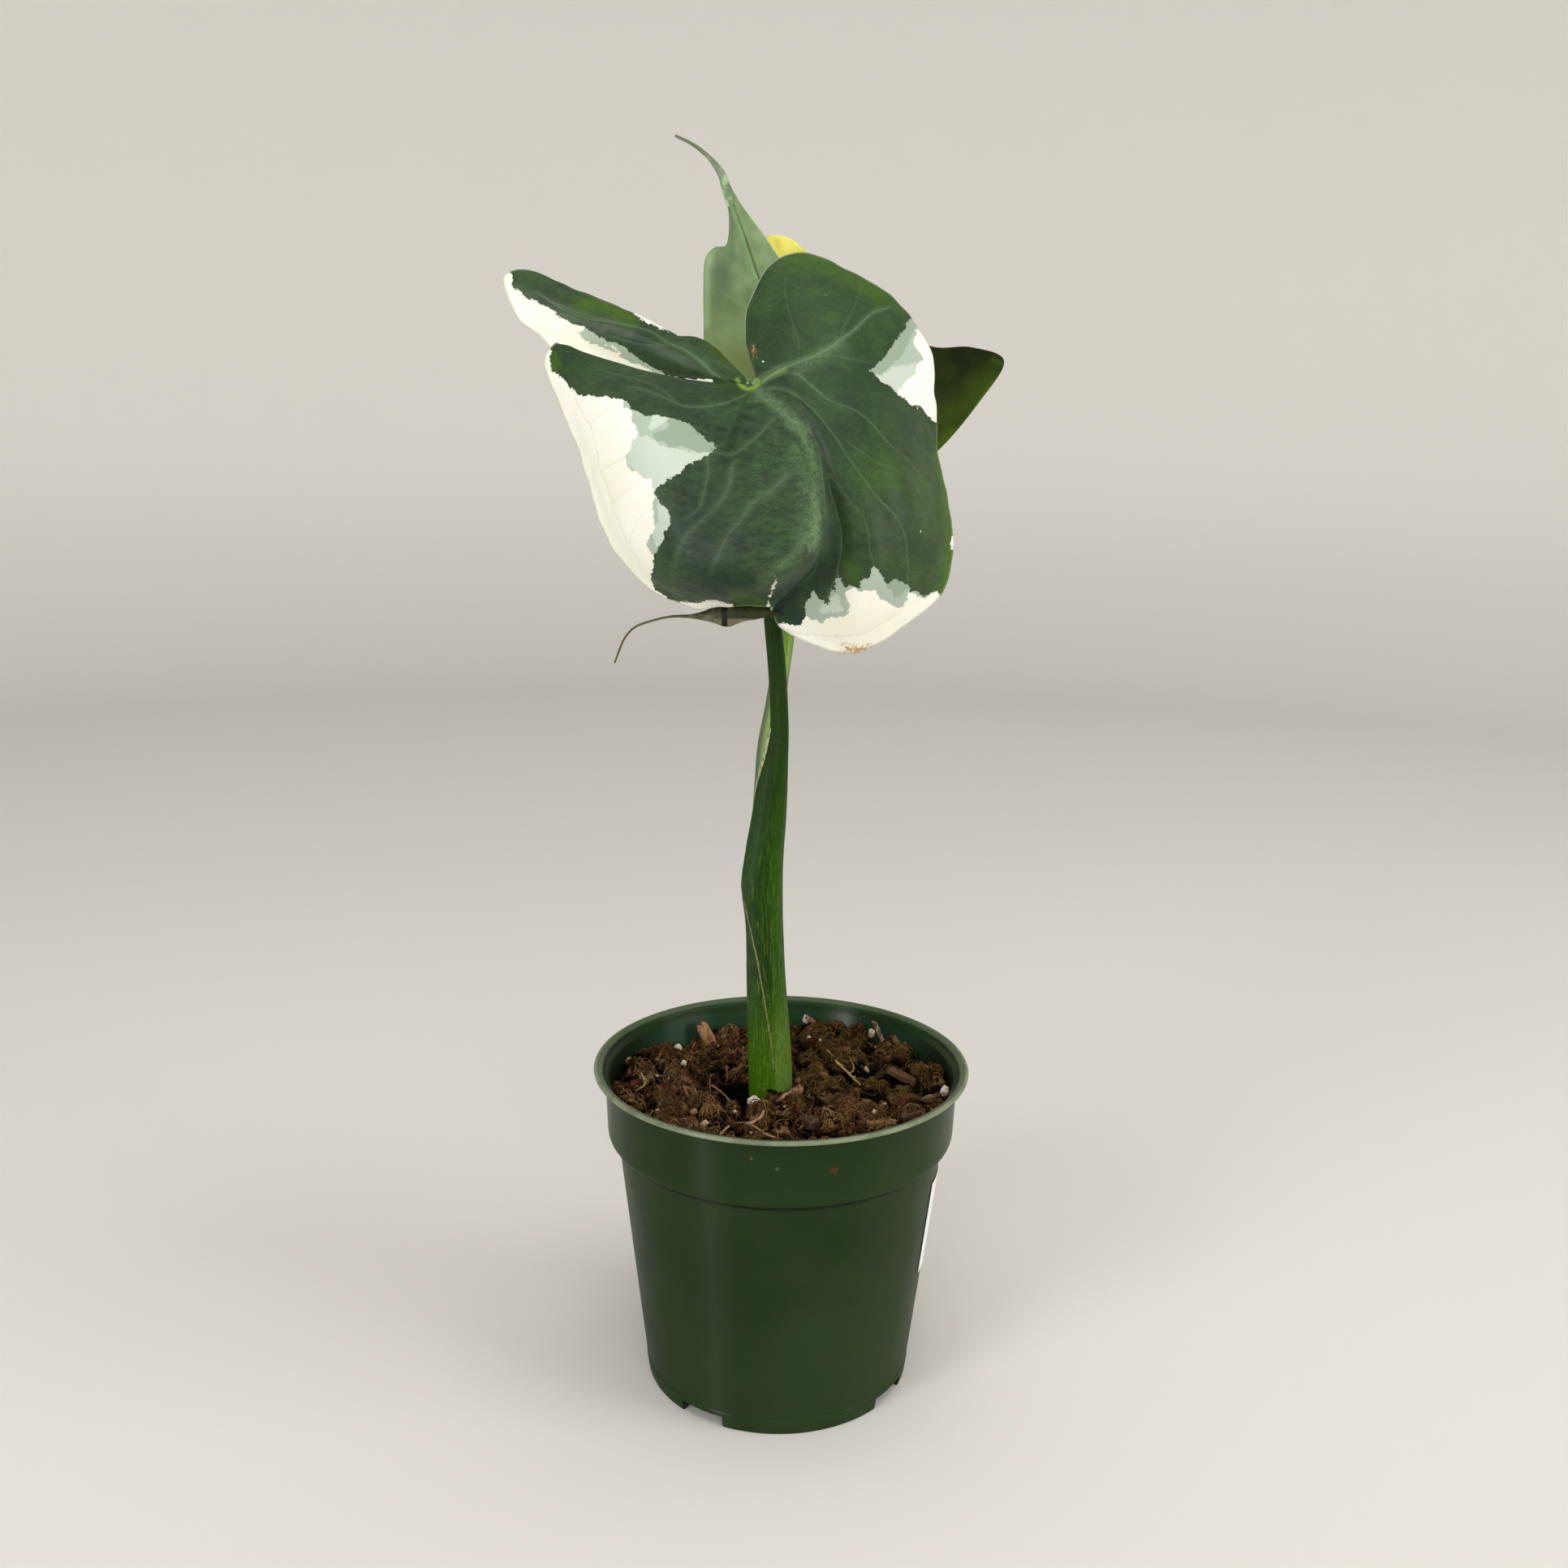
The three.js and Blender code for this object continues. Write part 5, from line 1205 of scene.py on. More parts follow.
def buildPotPlastic(tree, position):
    tones = potColours
    x, y, height = split(tree, position)
    radius = calc(tree, "SQRT", plus(tree, times(tree, x, x), times(tree, y, y)))
    wallMask = times(tree, ramp(tree, radius, 0.04905, 0.0488), ramp(tree, height, 0.0765, 0.079))
    flareMask = times(tree, ramp(tree, radius, 0.0506, 0.0504), ramp(tree, height, 0.0915, 0.092))
    inside = times(tree, calc(tree, "MAXIMUM", wallMask, flareMask), 0.9)
    # inside the rim: near black at the front as painted shade, lighter at the back as painted light
    inner = paint(tree, tones["inner"], (ramp(tree, y, 0.012, 0.038), tones["innerBack"]))
    # painted light: the lip's top lighter than the body; its outer corner a painted highlight, broken up like
    # wear
    lip = times(tree, ramp(tree, height, 0.0918, 0.0924), ramp(tree, radius, 0.0503, 0.0508))
    worn = ramp(tree, grain(tree, position, 150.0, 4.0, 0.6), 0.3, 0.62, 0.35, 0.9)
    highlightAndWear = times(tree, ramp(tree, radius, 0.0518, 0.0525), lip, worn)
    # painted shadow: a dark line round the body just under the band's overhang
    shadeUnderBand = ramp(tree, calc(tree, "ABSOLUTE", minus(tree, height, potSize["bodyTop"] * mm)), 0.0009, 0.0005)
    scratches = grain(tree, stretch(tree, position, (1.0, 1.0, 5.0)), 420.0, 3.0, 0.6, 0.3)
    tone = paint(tree, blotched(tree, position, 14.0, tones["green"], tones["greenLight"]), (inside, inner),
                 (times(tree, lip, 0.85), tones["lip"]), (highlightAndWear, tones["lipEdge"]), (shadeUnderBand, tones["line"]),
                 (ramp(tree, scratches, 0.66, 0.8, 0.0, 0.35), tones["scuff"]))
    for place, size, name in potMarks.values():
        ends = {0: position, 1: tuple(c * mm for c in place)}
        far = addNode(tree, "VectorMath", ends, operation="DISTANCE").outputs["Value"]
        ragged = plus(tree, far, times(tree, grain(tree, position, 1400.0, 2.0), size * mm * 1.2))
        tone = paint(tree, tone, (ramp(tree, ragged, size * mm * 1.4, size * mm * 0.9, 0.0, 0.7),
                                  tones[name]))
    rough = ramp(tree, grain(tree, position, 60.0, 4.0), 0.3, 0.7, 0.35, 0.42)
    rough = minus(tree, rough, ramp(tree, height, 0.0735, 0.0755, 0.0, 0.07))
    fine = grain(tree, position, 1600.0, 3.0)
    around = addNode(tree, "VectorMath", {0: (0, 0, 1), 1: position}, operation="CROSS_PRODUCT").outputs[0]
    around = addNode(tree, "VectorMath", {0: around}, operation="NORMALIZE").outputs[0]
    return {"Base Color": tone, "Roughness": rough, "Tangent": around,
            "Normal": bumpFrom(tree, fine, 0.00005, 0.5)}


potPlastic = makeMaterial("potPlastic", buildPotPlastic, Specular_IOR_Level=0.08, Anisotropic=0.95,
                          Anisotropic_Rotation=0.25)
potPiece = linkPiece("potShell", buildPot(), potPlastic, ["pot"])
potPiece.data.set_sharp_from_angle(angle=math.radians(potSize["sharpFrom"]))
print("pot built")

# Label: blank, bent round the body. Ends in degrees, the rest in millimetres
labelSize = {
    "from": 69.6, "to": 118, "bottom": 36, "top": 64, "thickness": 0.15, "lift": 0.22, "columns": 48,
    "rows": 24, "taperFrom": 0.8, "paper": palette(grey=(226, 226, 224), white=(238, 238, 236)),
}


def buildLabelPaper(tree, position):
    fibre, paper = grain(tree, position, 900.0, 4.0), labelSize["paper"]
    tone = paint(tree, paper["grey"], (ramp(tree, fibre, 0.3, 0.7), paper["white"]))
    return {"Base Color": tone, "Normal": bumpFrom(tree, fibre, 0.00005, 0.5)}


def buildLabel():
    s, p = labelSize, potSize
    turn = np.radians(np.linspace(s["from"], s["to"], s["columns"] + 1))[:, None]
    height = np.linspace(s["bottom"], s["top"], s["rows"] + 1)[None]
    slope = (p["bodyTopRadius"] - p["baseRadius"]) / (p["bodyTop"] - s["taperFrom"])
    radius = p["baseRadius"] + slope * (height - s["taperFrom"]) + s["lift"] + np.zeros_like(turn)
    height = np.broadcast_to(height, radius.shape)
    places = np.stack([radius * np.sin(turn), -radius * np.cos(turn), height], 2)
    paper = makeMaterial("labelPaper", buildLabelPaper, Roughness=0.6)
    piece = linkPiece("labelSheet", gridMesh("labelSheet", places), paper, ["pot_label"])
    thicken(piece, s["thickness"])


buildLabel()
print("label built")

# Potting mix, in millimetres. A swell has a centre, a radius and a rise, another place a centre and a radius.
mix = {
    "level": 85.6, "edge": 48.1, "around": 620, "rows": 125, "seed": 5, "step": 0.25, "half": 50, "sunk": 1.9,
    "clods": 1150, "clodRadius": (0.9, 3.2, 2.2), "crumbs": 3600, "crumbSize": (0.25, 0.9, 2.4),
    "fibres": 680, "tufts": 280, "grit": 4, "bareTone": 0.08, "pullScale": 1.7, "grainSize": 0.7,
    "darkShare": 0.88, "stem": {"centre": (-3.0, 0.0), "half": (6.8, 6.2)},
    "wall": [(48.1, 80), (47.6, 75), (46.6, 73), (44.6, 71.4), (36.9, 4.6), (0, 4.6)],
    "swells": [(-12.5, -3.5, 5, -6.0), (-26, 40, 16, -4.0), (19, 44, 6, 1.8)],
    "grains": [(-31.6, 31, 1.7), (7.3, 45.6, 1.3), (46.3, -5.5, 1.5), (-6.6, -7.8, 2.2), (-28.6, 12.5, 1.3)],
    "pockets": [(-12, -3.5, 7.0), (-3, 0, 4.5), (9.5, -9.5, 2.8), (26, -7, 3.2), (-33, 2, 2.2)],
    "clearings": [(-7.5, -12.5, 3.6), (-24, 38, 2.2), (35.2, 4.8, 3.4), (4.5, -4.5, 2.4), (8.5, -28, 2.2)],
}


def lattice(ix, iy):
    s = np.sin(ix * 127.1 + iy * 311.7) * 43758.5453
    return s - np.floor(s)


def patchNoise(x, y):
    ix, iy = np.floor(x), np.floor(y)
    fx, fy = smoothStep(0, 1, x - ix), smoothStep(0, 1, y - iy)
    low = lattice(ix, iy) * (1 - fx) + lattice(ix + 1, iy) * fx
    high = lattice(ix, iy + 1) * (1 - fx) + lattice(ix + 1, iy + 1) * fx
    return (low + (high - low) * fy) * 2 - 1


def soilHeight(x, y):
    lumps = 1.3 * patchNoise(x / 7 + 3.1, y / 7) + 0.9 * patchNoise(x / 3.1, y / 3.1 + 8)
    slope = 1.2 * smoothStep(10, 45, -y) - 0.9 * smoothStep(5, 45, y)
    dip = -1.4 * np.exp(-(x * x + y * y) / 220)
    for middleX, middleY, radius, rise in mix["swells"]:
        dip = dip + rise * np.exp(-((x - middleX) ** 2 + (y - middleY) ** 2) / radius**2)
    return mix["level"] + lumps + slope + dip


pick = random.Random(mix["seed"])


def drawn(least, spread, power=1):
    # a random value, more often near the least one where the power is above one
    return least + spread * pick.random() ** power


def drawnShift(span):
    return Vector((pick.random(), pick.random(), pick.random())) * span


def gridPlace(value):
    return (value + mix["half"]) / mix["step"]


def buildRelief():
    # clods over the smooth surface, on a square grid: height, how far raised, and a tone for each clod
    axis = np.arange(-mix["half"], mix["half"] + mix["step"], mix["step"])
    x, y = np.meshgrid(axis, axis, indexing="ij")
    spots = list(zip(x.ravel(), y.ravel()))
    pull = [noise.noise_vector(Vector((*spot, 0)) / mix["pullScale"]) for spot in spots]
    pull = np.array(pull).reshape(*x.shape, 3)
    fine = np.array([noise.noise(Vector((*spot, 5)) / mix["grainSize"]) for spot in spots]).reshape(x.shape)
    bentX, bentY = x + 0.8 * pull[..., 0], y + 0.8 * pull[..., 1]
    raised, tone = np.zeros(x.shape), np.full(x.shape, mix["bareTone"])
    for _ in range(mix["clods"]):
        radius = drawn(*mix["clodRadius"])
        centreX, centreY = [(2 * pick.random() - 1) * mix["edge"] for _ in range(2)]
        lift, tall, shade = drawn(0, 1.2), radius * drawn(0.45, 0.65), pick.random()
        low = [max(0, int(gridPlace(c - radius - 1))) for c in (centreX, centreY)]
        high = [int(gridPlace(c + radius + 1)) + 1 for c in (centreX, centreY)]
        window = np.s_[low[0]:high[0], low[1]:high[1]]
        far = ((bentX[window] - centreX) ** 2 + (bentY[window] - centreY) ** 2) / radius**2
        bump = np.where(far < 1, lift + tall * np.sqrt(np.maximum(0, 1 - far)), 0)
        above = bump > raised[window]
        raised[window] = np.where(above, bump, raised[window])
        tone[window] = np.where(above, shade, tone[window])
    for middleX, middleY, radius in [*mix["grains"], *mix["clearings"], *mix["pockets"]]:
        raised *= smoothStep(radius - 0.5, radius + 1.5, np.hypot(x - middleX, y - middleY))
    height = soilHeight(x, y) - mix["sunk"] + raised + 0.5 * pull[..., 2] + 0.35 * fine
    return {"height": height, "raised": raised, "tone": tone}


relief = buildRelief()


def sampleRelief(key, x, y):
    # between the grid's places
    limit = 2 * mix["half"] / mix["step"] - 0.01
    u, v = [np.clip(gridPlace(np.asarray(c)), 0, limit) for c in (x, y)]
    i, j = u.astype(int), v.astype(int)
    fx, fy = u - i, v - j
    field = relief[key]
    low = field[i, j] * (1 - fx) + field[i + 1, j] * fx
    return low * (1 - fy) + (field[i, j + 1] * (1 - fx) + field[i + 1, j + 1] * fx) * fy


def roughHeight(x, y):
    return float(sampleRelief("height", x, y))


def soilPlace(px, py, lift=0.0):
    # where a pixel's line of sight meets the potting mix
    ray = rayThrough([(px, py)])[0]
    eye = np.array(shot["place"])
    height = mix["level"]
    for _ in range(12):
        place = eye + ray * (height - eye[2]) / ray[2]
        height = (height + roughHeight(place[0], place[1]) + lift) / 2
    return place


def buildSoilBed():
    turns = np.linspace(0, 2 * math.pi, mix["around"] + 1)[:, None]
    radii = (np.linspace(0, 1, mix["rows"] + 1) ** 0.6 * mix["edge"])[None]
    x, y = radii * np.cos(turns), radii * np.sin(turns)
    top = np.stack([x, y, sampleRelief("height", x, y)], 2)
    wall = np.array(mix["wall"])
    flat = np.zeros((len(turns), len(wall)))
    side = np.stack([wall[:, 0] * np.cos(turns), wall[:, 0] * np.sin(turns), wall[:, 1] + flat], 2)
    places = np.concatenate([top, side], axis=1)
    attributes = {key: np.concatenate([sampleRelief(key, x, y), flat], axis=1) for key in ("raised", "tone")}
    for values in (places, *attributes.values()):
        values[-1] = values[0]
    mesh = gridMesh("soilBed", places, attributes)
    closeEnds(mesh)
    return mesh


soilColours = palette(
    black=(6, 3, 0), brown=(52, 32, 12), red=(96, 60, 34), olive=(104, 79, 40), tan=(144, 111, 72),
    pink=(158, 120, 94), straw=(176, 148, 88), grey=(84, 70, 58), root=(166, 134, 98), orange=(142, 96, 58),
    white=(226, 222, 210), cream=(190, 166, 134), moss=(84, 78, 22), wood=(176, 138, 100))
toneSteps = {0.22: "brown", 0.46: "red", 0.66: "olive", 0.82: "tan", 0.92: "pink"}


def toneRamp(tree, tone):
    # from black through the steps to pale grit
    steps = addNode(tree, "ValToRGB", {0: tone})
    keys = steps.color_ramp.elements
    keys[0].color, keys[1].color = soilColours["black"], soilColours["cream"]
    for place, name in toneSteps.items():
        keys.new(place).color = soilColours[name]
    return steps.outputs[0]


def buildSoil(tree, position):
    fibre = grain(tree, position, 620.0, 6.0, 0.75, 1.2)
    tone = plus(tree, mark(tree, "tone", 0.8), ramp(tree, fibre, 0.3, 0.72, -0.3, 0.5))
    thread = useGroup(tree, threads, Position=position, Scale=240.0)
    tone = paint(tree, toneRamp(tree, tone), (times(tree, thread, 0.6), soilColours["tan"]))
    # painted shade: the hollows between the clods are painted black
    shaded = paint(tree, soilColours["black"], (ramp(tree, attribute(tree, "raised"), 1.2, 2.9), tone))
    height = plus(tree, fibre, times(tree, thread, 0.3))
    return {"Base Color": shaded, "Normal": bumpFrom(tree, height, 0.0012, 1.0)}


def buildCrumb(tree, position):
    whole = toneRamp(tree, attribute(tree, "tone"))
    dirt = ramp(tree, grain(tree, position, 900.0, 5.0, 0.7), 0.35, 0.68)
    tone = paint(tree, paint(tree, whole, (0.8, soilColours["black"])), (dirt, whole))
    return {"Base Color": tone, "Normal": bumpFrom(tree, grain(tree, position, 1500.0, 4.0), 0.0005, 0.8)}


def soilTone():
    # mostly dark crumbs, few pale ones
    return drawn(0.05, 0.6) if pick.random() < mix["darkShare"] else drawn(0.6, 0.35, 1.6)


def clearOfStem(x, y):
    (middleX, middleY), (halfX, halfY) = mix["stem"]["centre"], mix["stem"]["half"]
    return ((x - middleX) / halfX) ** 2 + ((y - middleY) / halfY) ** 2 > 1


def clearOfGrains(x, y):
    return all(math.hypot(x - middleX, y - middleY) > radius for middleX, middleY, radius in mix["grains"])


def scatter(name, count, makeOne, material, batch=60):
    # many small shapes, built a batch at a time and joined in one mesh
    made = []
    for start in range(0, count, batch):
        bm = bmesh.new()
        tone = bm.verts.layers.float.new("tone")
        for _ in range(min(batch, count - start)):
            value, fresh = makeOne(bm)
            for vert in fresh:
                vert[tone] = value
        made.append(linkObject(name, meshFrom(bm, name)))
    with bpy.context.temp_override(active_object=made[0], selected_editable_objects=made, object=made[0]):
        bpy.ops.object.join()
    joined = made[0].data
    bpy.data.objects.remove(made[0])
    linkPiece(name, joined, material)


def randomSpot(margin):
    while True:
        radius = (mix["edge"] - margin) * math.sqrt(pick.random())
        turn = pick.random() * 2 * math.pi
        x, y = radius * math.cos(turn), radius * math.sin(turn)
        if clearOfStem(x, y) and clearOfGrains(x, y):
            return x, y


def makeCrumb(bm):
    size = drawn(*mix["crumbSize"])
    x, y = randomSpot(size + 0.4)
    spin = Matrix.Rotation(drawn(0, fullTurn), 4, "Z") @ Matrix.Rotation(drawn(-0.6, 1.2), 4, "X")
    shape = Matrix.Diagonal(Vector((drawn(1, 1.3), drawn(0.7, 0.4), drawn(0.5, 0.4)))).to_4x4()
    place = Matrix.Translation(Vector((x, y, roughHeight(x, y) + size * drawn(0.1, 0.6))) * mm)
    matrix = place @ spin @ shape
    fresh = bmesh.ops.create_icosphere(bm, subdivisions=1, radius=size * mm, matrix=matrix)["verts"]
    for vert in fresh:
        vert.co += noise.noise_vector(vert.co * 1400) * size * mm * 0.35
    # crumbs that lie in the hollows take a dark tone as painted shade
    return soilTone() * float(smoothStep(1.2, 2.8, sampleRelief("raised", x, y))), fresh


soilMaterial = makeMaterial("pottingMix", buildSoil, Roughness=0.85, Specular_IOR_Level=0.06)
crumbMaterial = makeMaterial("soilCrumbs", buildCrumb, Roughness=0.8, Specular_IOR_Level=0.06)
linkPiece("soilBed", buildSoilBed(), soilMaterial, ["potting_mix"])
crumbCount = mix["crumbs"]
scatter("soilCrumbs", crumbCount, makeCrumb, crumbMaterial)
print("potting mix built")


# Strands: fibres, roots and twigs, each a bevelled curve that is made a mesh
def strandMesh(name, strands, sides=0):
    curve = bpy.data.curves.new(name, "CURVE")
    curve.dimensions = "3D"
    curve.bevel_depth = 1.0 * mm
    curve.bevel_resolution = sides
    curve.use_fill_caps = True
    for path, radius in strands:
        spline = curve.splines.new("POLY")
        spline.points.add(len(path) - 1)
        for k, (point, place) in enumerate(zip(spline.points, path)):
            point.co = (*(np.asarray(place) * mm), 1)
            along = min(1, 0.15 + 0.8 * k / (len(path) - 1))
            point.radius = radius * (0.55 + 0.45 * math.sin(math.pi * along))
    holder = linkObject(name, curve)
    view = bpy.context.evaluated_depsgraph_get()
    mesh = bpy.data.meshes.new_from_object(holder.evaluated_get(view))
    bpy.data.objects.remove(holder)
    return mesh


def strandMaterial(name, tone):
    def build(tree, position):
        dirt = ramp(tree, grain(tree, position, 1100.0, 4.0, 0.7), 0.42, 0.75, 0.0, 0.75)
        return {"Base Color": paint(tree, tone, (dirt, soilColours["brown"]))}
    return makeMaterial(name, build, Roughness=0.8, Specular_IOR_Level=0.1)


strandShape = {"places": 7, "inset": 1.2, "lift": 0.35, "wander": 0.5, "leastRaised": 1.8}
strandTones = {
    "mossy": ("olive", "moss", "olive", "brown"), "dry": ("tan", "red", "olive", "brown"),
    "plain": ("brown", "red", "olive", "tan"),
}


def randomStrand(start, length, wild):
    x, y = start
    s, steps = strandShape, strandShape["places"] - 1
    heading, curl = drawn(0, fullTurn), drawn(-0.5, 1) * wild
    rise = drawn(0.2, 1.1)
    path = []
    for k in range(s["places"]):
        if math.hypot(x, y) > mix["edge"] - s["inset"] or not clearOfStem(x, y) or not clearOfGrains(x, y):
            break
        path.append((x, y, roughHeight(x, y) + s["lift"] + rise * math.sin(math.pi * k / steps)))
        heading += curl + s["wander"] * drawn(-0.5, 1)
        x, y = x + math.cos(heading) * length / steps, y + math.sin(heading) * length / steps
    return path


def tuftTone(x, y):
    # mossy at the right, dry at the front left, brown elsewhere
    place = "mossy" if x > 4 and y > -12 else "dry" if y < -8 else "plain"
    return strandTones[place][int(pick.random() * 4)]


def raisedSpot(margin):
    # fibres lie on the clods, and the hollows between them stay dark
    while True:
        spot = randomSpot(margin)
        if sampleRelief("raised", *spot) > strandShape["leastRaised"]:
            return spot


def buildFibres():
    strands = {name: [] for name in ("brown", "red", "olive", "moss", "tan")}
    for _ in range(mix["tufts"]):
        x, y = raisedSpot(4)
        tone = tuftTone(x, y)
        for _ in range(9 + int(8 * pick.random())):
            start = (x + pick.gauss(0, 0.9), y + pick.gauss(0, 0.9))
            strand = randomStrand(start, drawn(1.6, 2.8), 1.6)
            strands[tone].append((strand, drawn(0.05, 0.06)))
    for _ in range(mix["fibres"]):
        start = raisedSpot(2.5)
        tone = tuftTone(*start)
        strand = randomStrand(start, drawn(2.5, 6, 1.5), 0.9)
        strands[tone].append((strand, drawn(0.07, 0.08)))
    for name, lines in strands.items():
        mesh = strandMesh(name + "Fibres", [line for line in lines if len(line[0]) > 3])
        linkPiece(name + "Fibres", mesh, strandMaterial(name + "Fibre", soilColours[name]))


buildFibres()

# Named strands on the mix: path in pixels, radius and lift above it in millimetres, tone, any CAD node
twigs = {
    "curvedRoot": ([(939, 1364), (940.4, 1371), (934, 1379), (923.6, 1384), (910, 1384), (898, 1388),
                    (888, 1397)],
                   0.42, 1.5, "root"),
    "rootBranch": ([(924, 1385), (934, 1391), (945, 1398), (955, 1402)], 0.32, 1.3, "root"),
    "leftTwig": ([(878, 1338), (888, 1345), (899, 1356), (906, 1364)], 0.38, 1.6, "tan"),
    "leftLoop": ([(790, 1322), (795, 1332), (793, 1338), (783, 1344)], 0.26, 1.5, "straw"),
    "leftFibre": ([(839, 1330), (844, 1342), (849, 1352)], 0.2, 1.5, "tan"),
    "straw": ([(1019.7, 1294.5), (1031, 1308), (1041, 1318), (1051, 1328), (1059.5, 1336)],
              0.36, 1.7, "straw", "straw_twig"),
    "rightFibre": ([(1049, 1307), (1052, 1317), (1046, 1323)], 0.26, 1.5, "tan"),
    "stemTwig": ([(958, 1357), (966, 1350), (977, 1344)], 0.45, 1.6, "pink"),
    "frontFibre": ([(1000, 1362), (998, 1372), (1003, 1381)], 0.24, 1.5, "olive"),
    "loopFibre": ([(985, 1392), (990, 1387), (1000, 1386), (1004, 1391)], 0.26, 1.4, "straw"),
}
for name, (path, radius, lift, tone, *replaced) in twigs.items():
    track = smoothPath([soilPlace(px, py, lift) for px, py in path], 0.7)
    wobble = np.array([noise.noise_vector(Vector(p) * 0.9) for p in track]) * radius * 0.5
    mesh = strandMesh(name, [(track + wobble, radius)], sides=3)
    linkPiece(name, mesh, strandMaterial(name, soilColours[tone]), replaced)
print("fibres and twigs laid")

# Chips and bark: centre and size in millimetres, turns in degrees, two tones, CAD node if any
chips = {
    "chipLeft": ((-23.0, 38, 84.9), (3.8, 3.0, 11), (4, -27, 0), "orange", "wood", "wood_chip_left"),
    "chipRight": ((29.9, 34.5, 88.5), (1.4, 1.3, 9.4), (0, -25, 0), "cream", "grey", "wood_chip_right"),
    "barkPiece": ((35.2, 4.8, 86.8), (10.5, 3.0, 2.2), (0, 22, -12), "red", "grey", "bark_piece"),
    "orangeChip": ((4.5, -4.5, 86.0), (4.4, 2.4, 2.0), (10, -24, 24), "pink", "red", "orange_chip"),
    "frontChip": ((8.5, -28, 87.2), (5.2, 3.0, 2.6), (8, 6, 12), "grey", "brown", "front_chip"),
    "backChip": ((9.0, 44.9, 88.3), (4.4, 1.3, 1.3), (0, 35, -8), "red", "pink"),
    "splinterBit": ((27.6, 33.6, 88.6), (1.9, 1.6, 2.8), (0, 10, 0), "pink", "white"),
}
# More pieces by pixel: centre, lift, size, turn, tones
smallChips = {
    "orangeBit": ((1014.7, 1325), 0.6, (2.2, 1.9, 1.8), (0, 20, 30), "orange", "tan"),
    "redBit1": ((893, 1318), 0.4, (1.4, 1.2, 3.2), (0, 35, 0), "red", "pink"),
    "redBit2": ((902, 1332), 0.2, (1.6, 1.4, 1.6), (0, 10, 20), "red", "red"),
    "leftBark": ((835, 1362), 0.8, (5.5, 3.0, 2.2), (0, 6, 20), "grey", "brown"),
    "leftChip": ((854.7, 1370), 0.9, (2.6, 1.6, 1.4), (0, -25, 30), "pink", "tan"),
    "paleChip": ((866, 1386), 0.9, (1.5, 1.3, 3.8), (0, 48, 0), "cream", "tan"),
    "paleFlat": ((812, 1369), 0.9, (2.4, 1.5, 1.0), (0, 0, 10), "cream", "grey"),
    "rightBark1": ((1120, 1353), 0.9, (6.0, 3.2, 2.0), (0, 4, 30), "red", "brown"),
    "rightBark2": ((1146, 1353), 1.0, (6.4, 1.8, 1.4), (0, 0, 30), "grey", "tan"),
    "rightBark3": ((1087, 1383), 0.9, (9.0, 2.4, 1.6), (0, 0, 4), "tan", "red"),
    "rightBark4": ((1122, 1374), 0.9, (6.0, 1.8, 1.5), (0, 0, 32), "grey", "red"),
    "rightChip": ((1068, 1318), 0.9, (1.0, 1.0, 2.4), (0, -30, 0), "pink", "cream"),
}


def buildChipWood(first, second):
    def build(tree, position):
        streak = grain(tree, stretch(tree, position, (1.0, 1.0, 0.35)), 900.0, 4.0, 0.7, 0.4)
        dirt = ramp(tree, grain(tree, position, 420.0, 5.0, 0.7), 0.5, 0.72, 0.0, 0.85)
        tone = paint(tree, soilColours[first], (ramp(tree, streak, 0.38, 0.64), soilColours[second]),
                     (dirt, soilColours["brown"]))
        return {"Base Color": tone, "Normal": bumpFrom(tree, streak, 0.0006, 0.8)}
    return build


chipShape = {"bevel": 0.16, "cuts": 3, "taper": 0.35, "warp": 0.1, "fibre": 0.06}


def buildChip(name, centre, size, turn, tones, replaced=()):
    s = chipShape
    bm = bmesh.new()
    bmesh.ops.create_cube(bm, size=1)
    bmesh.ops.bevel(bm, geom=bm.edges[:], offset=s["bevel"], segments=2, affect="EDGES", profile=0.5,
                    material=-1)
    bmesh.ops.subdivide_edges(bm, edges=bm.edges[:], cuts=s["cuts"], use_grid_fill=True)
    bmesh.ops.triangulate(bm, faces=[f for f in bm.faces if len(f.verts) > 4])
    seed = drawnShift(40)
    for vert in bm.verts:
        fibre = noise.noise(Vector((vert.co.x * 2, vert.co.y * 9, vert.co.z * 2)) + seed)
        taper = 1 - s["taper"] * abs(vert.co.z if size[2] > size[0] else vert.co.x)
        vert.co = vert.co * taper + noise.noise_vector(vert.co * 2.2 + seed) * s["warp"]
        vert.co += vert.co.normalized() * fibre * s["fibre"]
    spin = Matrix.Identity(4)
    for axis, angle in zip("ZYX", reversed(turn)):
        spin = spin @ Matrix.Rotation(math.radians(angle), 4, axis)
    place = Matrix.Translation(Vector(centre) * mm) @ spin @ Matrix.Diagonal(Vector(size) * mm).to_4x4()
    bmesh.ops.transform(bm, matrix=place, verts=bm.verts)
    bmesh.ops.recalc_face_normals(bm, faces=bm.faces)
    material = makeMaterial(name, buildChipWood(*tones), Roughness=0.8, Specular_IOR_Level=0.1)
    linkPiece(name, meshFrom(bm, name), material, replaced)


for name, (centre, size, turn, first, second, *replaced) in chips.items():
    buildChip(name, centre, size, turn, (first, second), replaced)
for name, (pixel, lift, size, turn, first, second) in smallChips.items():
    buildChip(name, soilPlace(*pixel, lift), size, turn, (first, second))
print("chips laid")

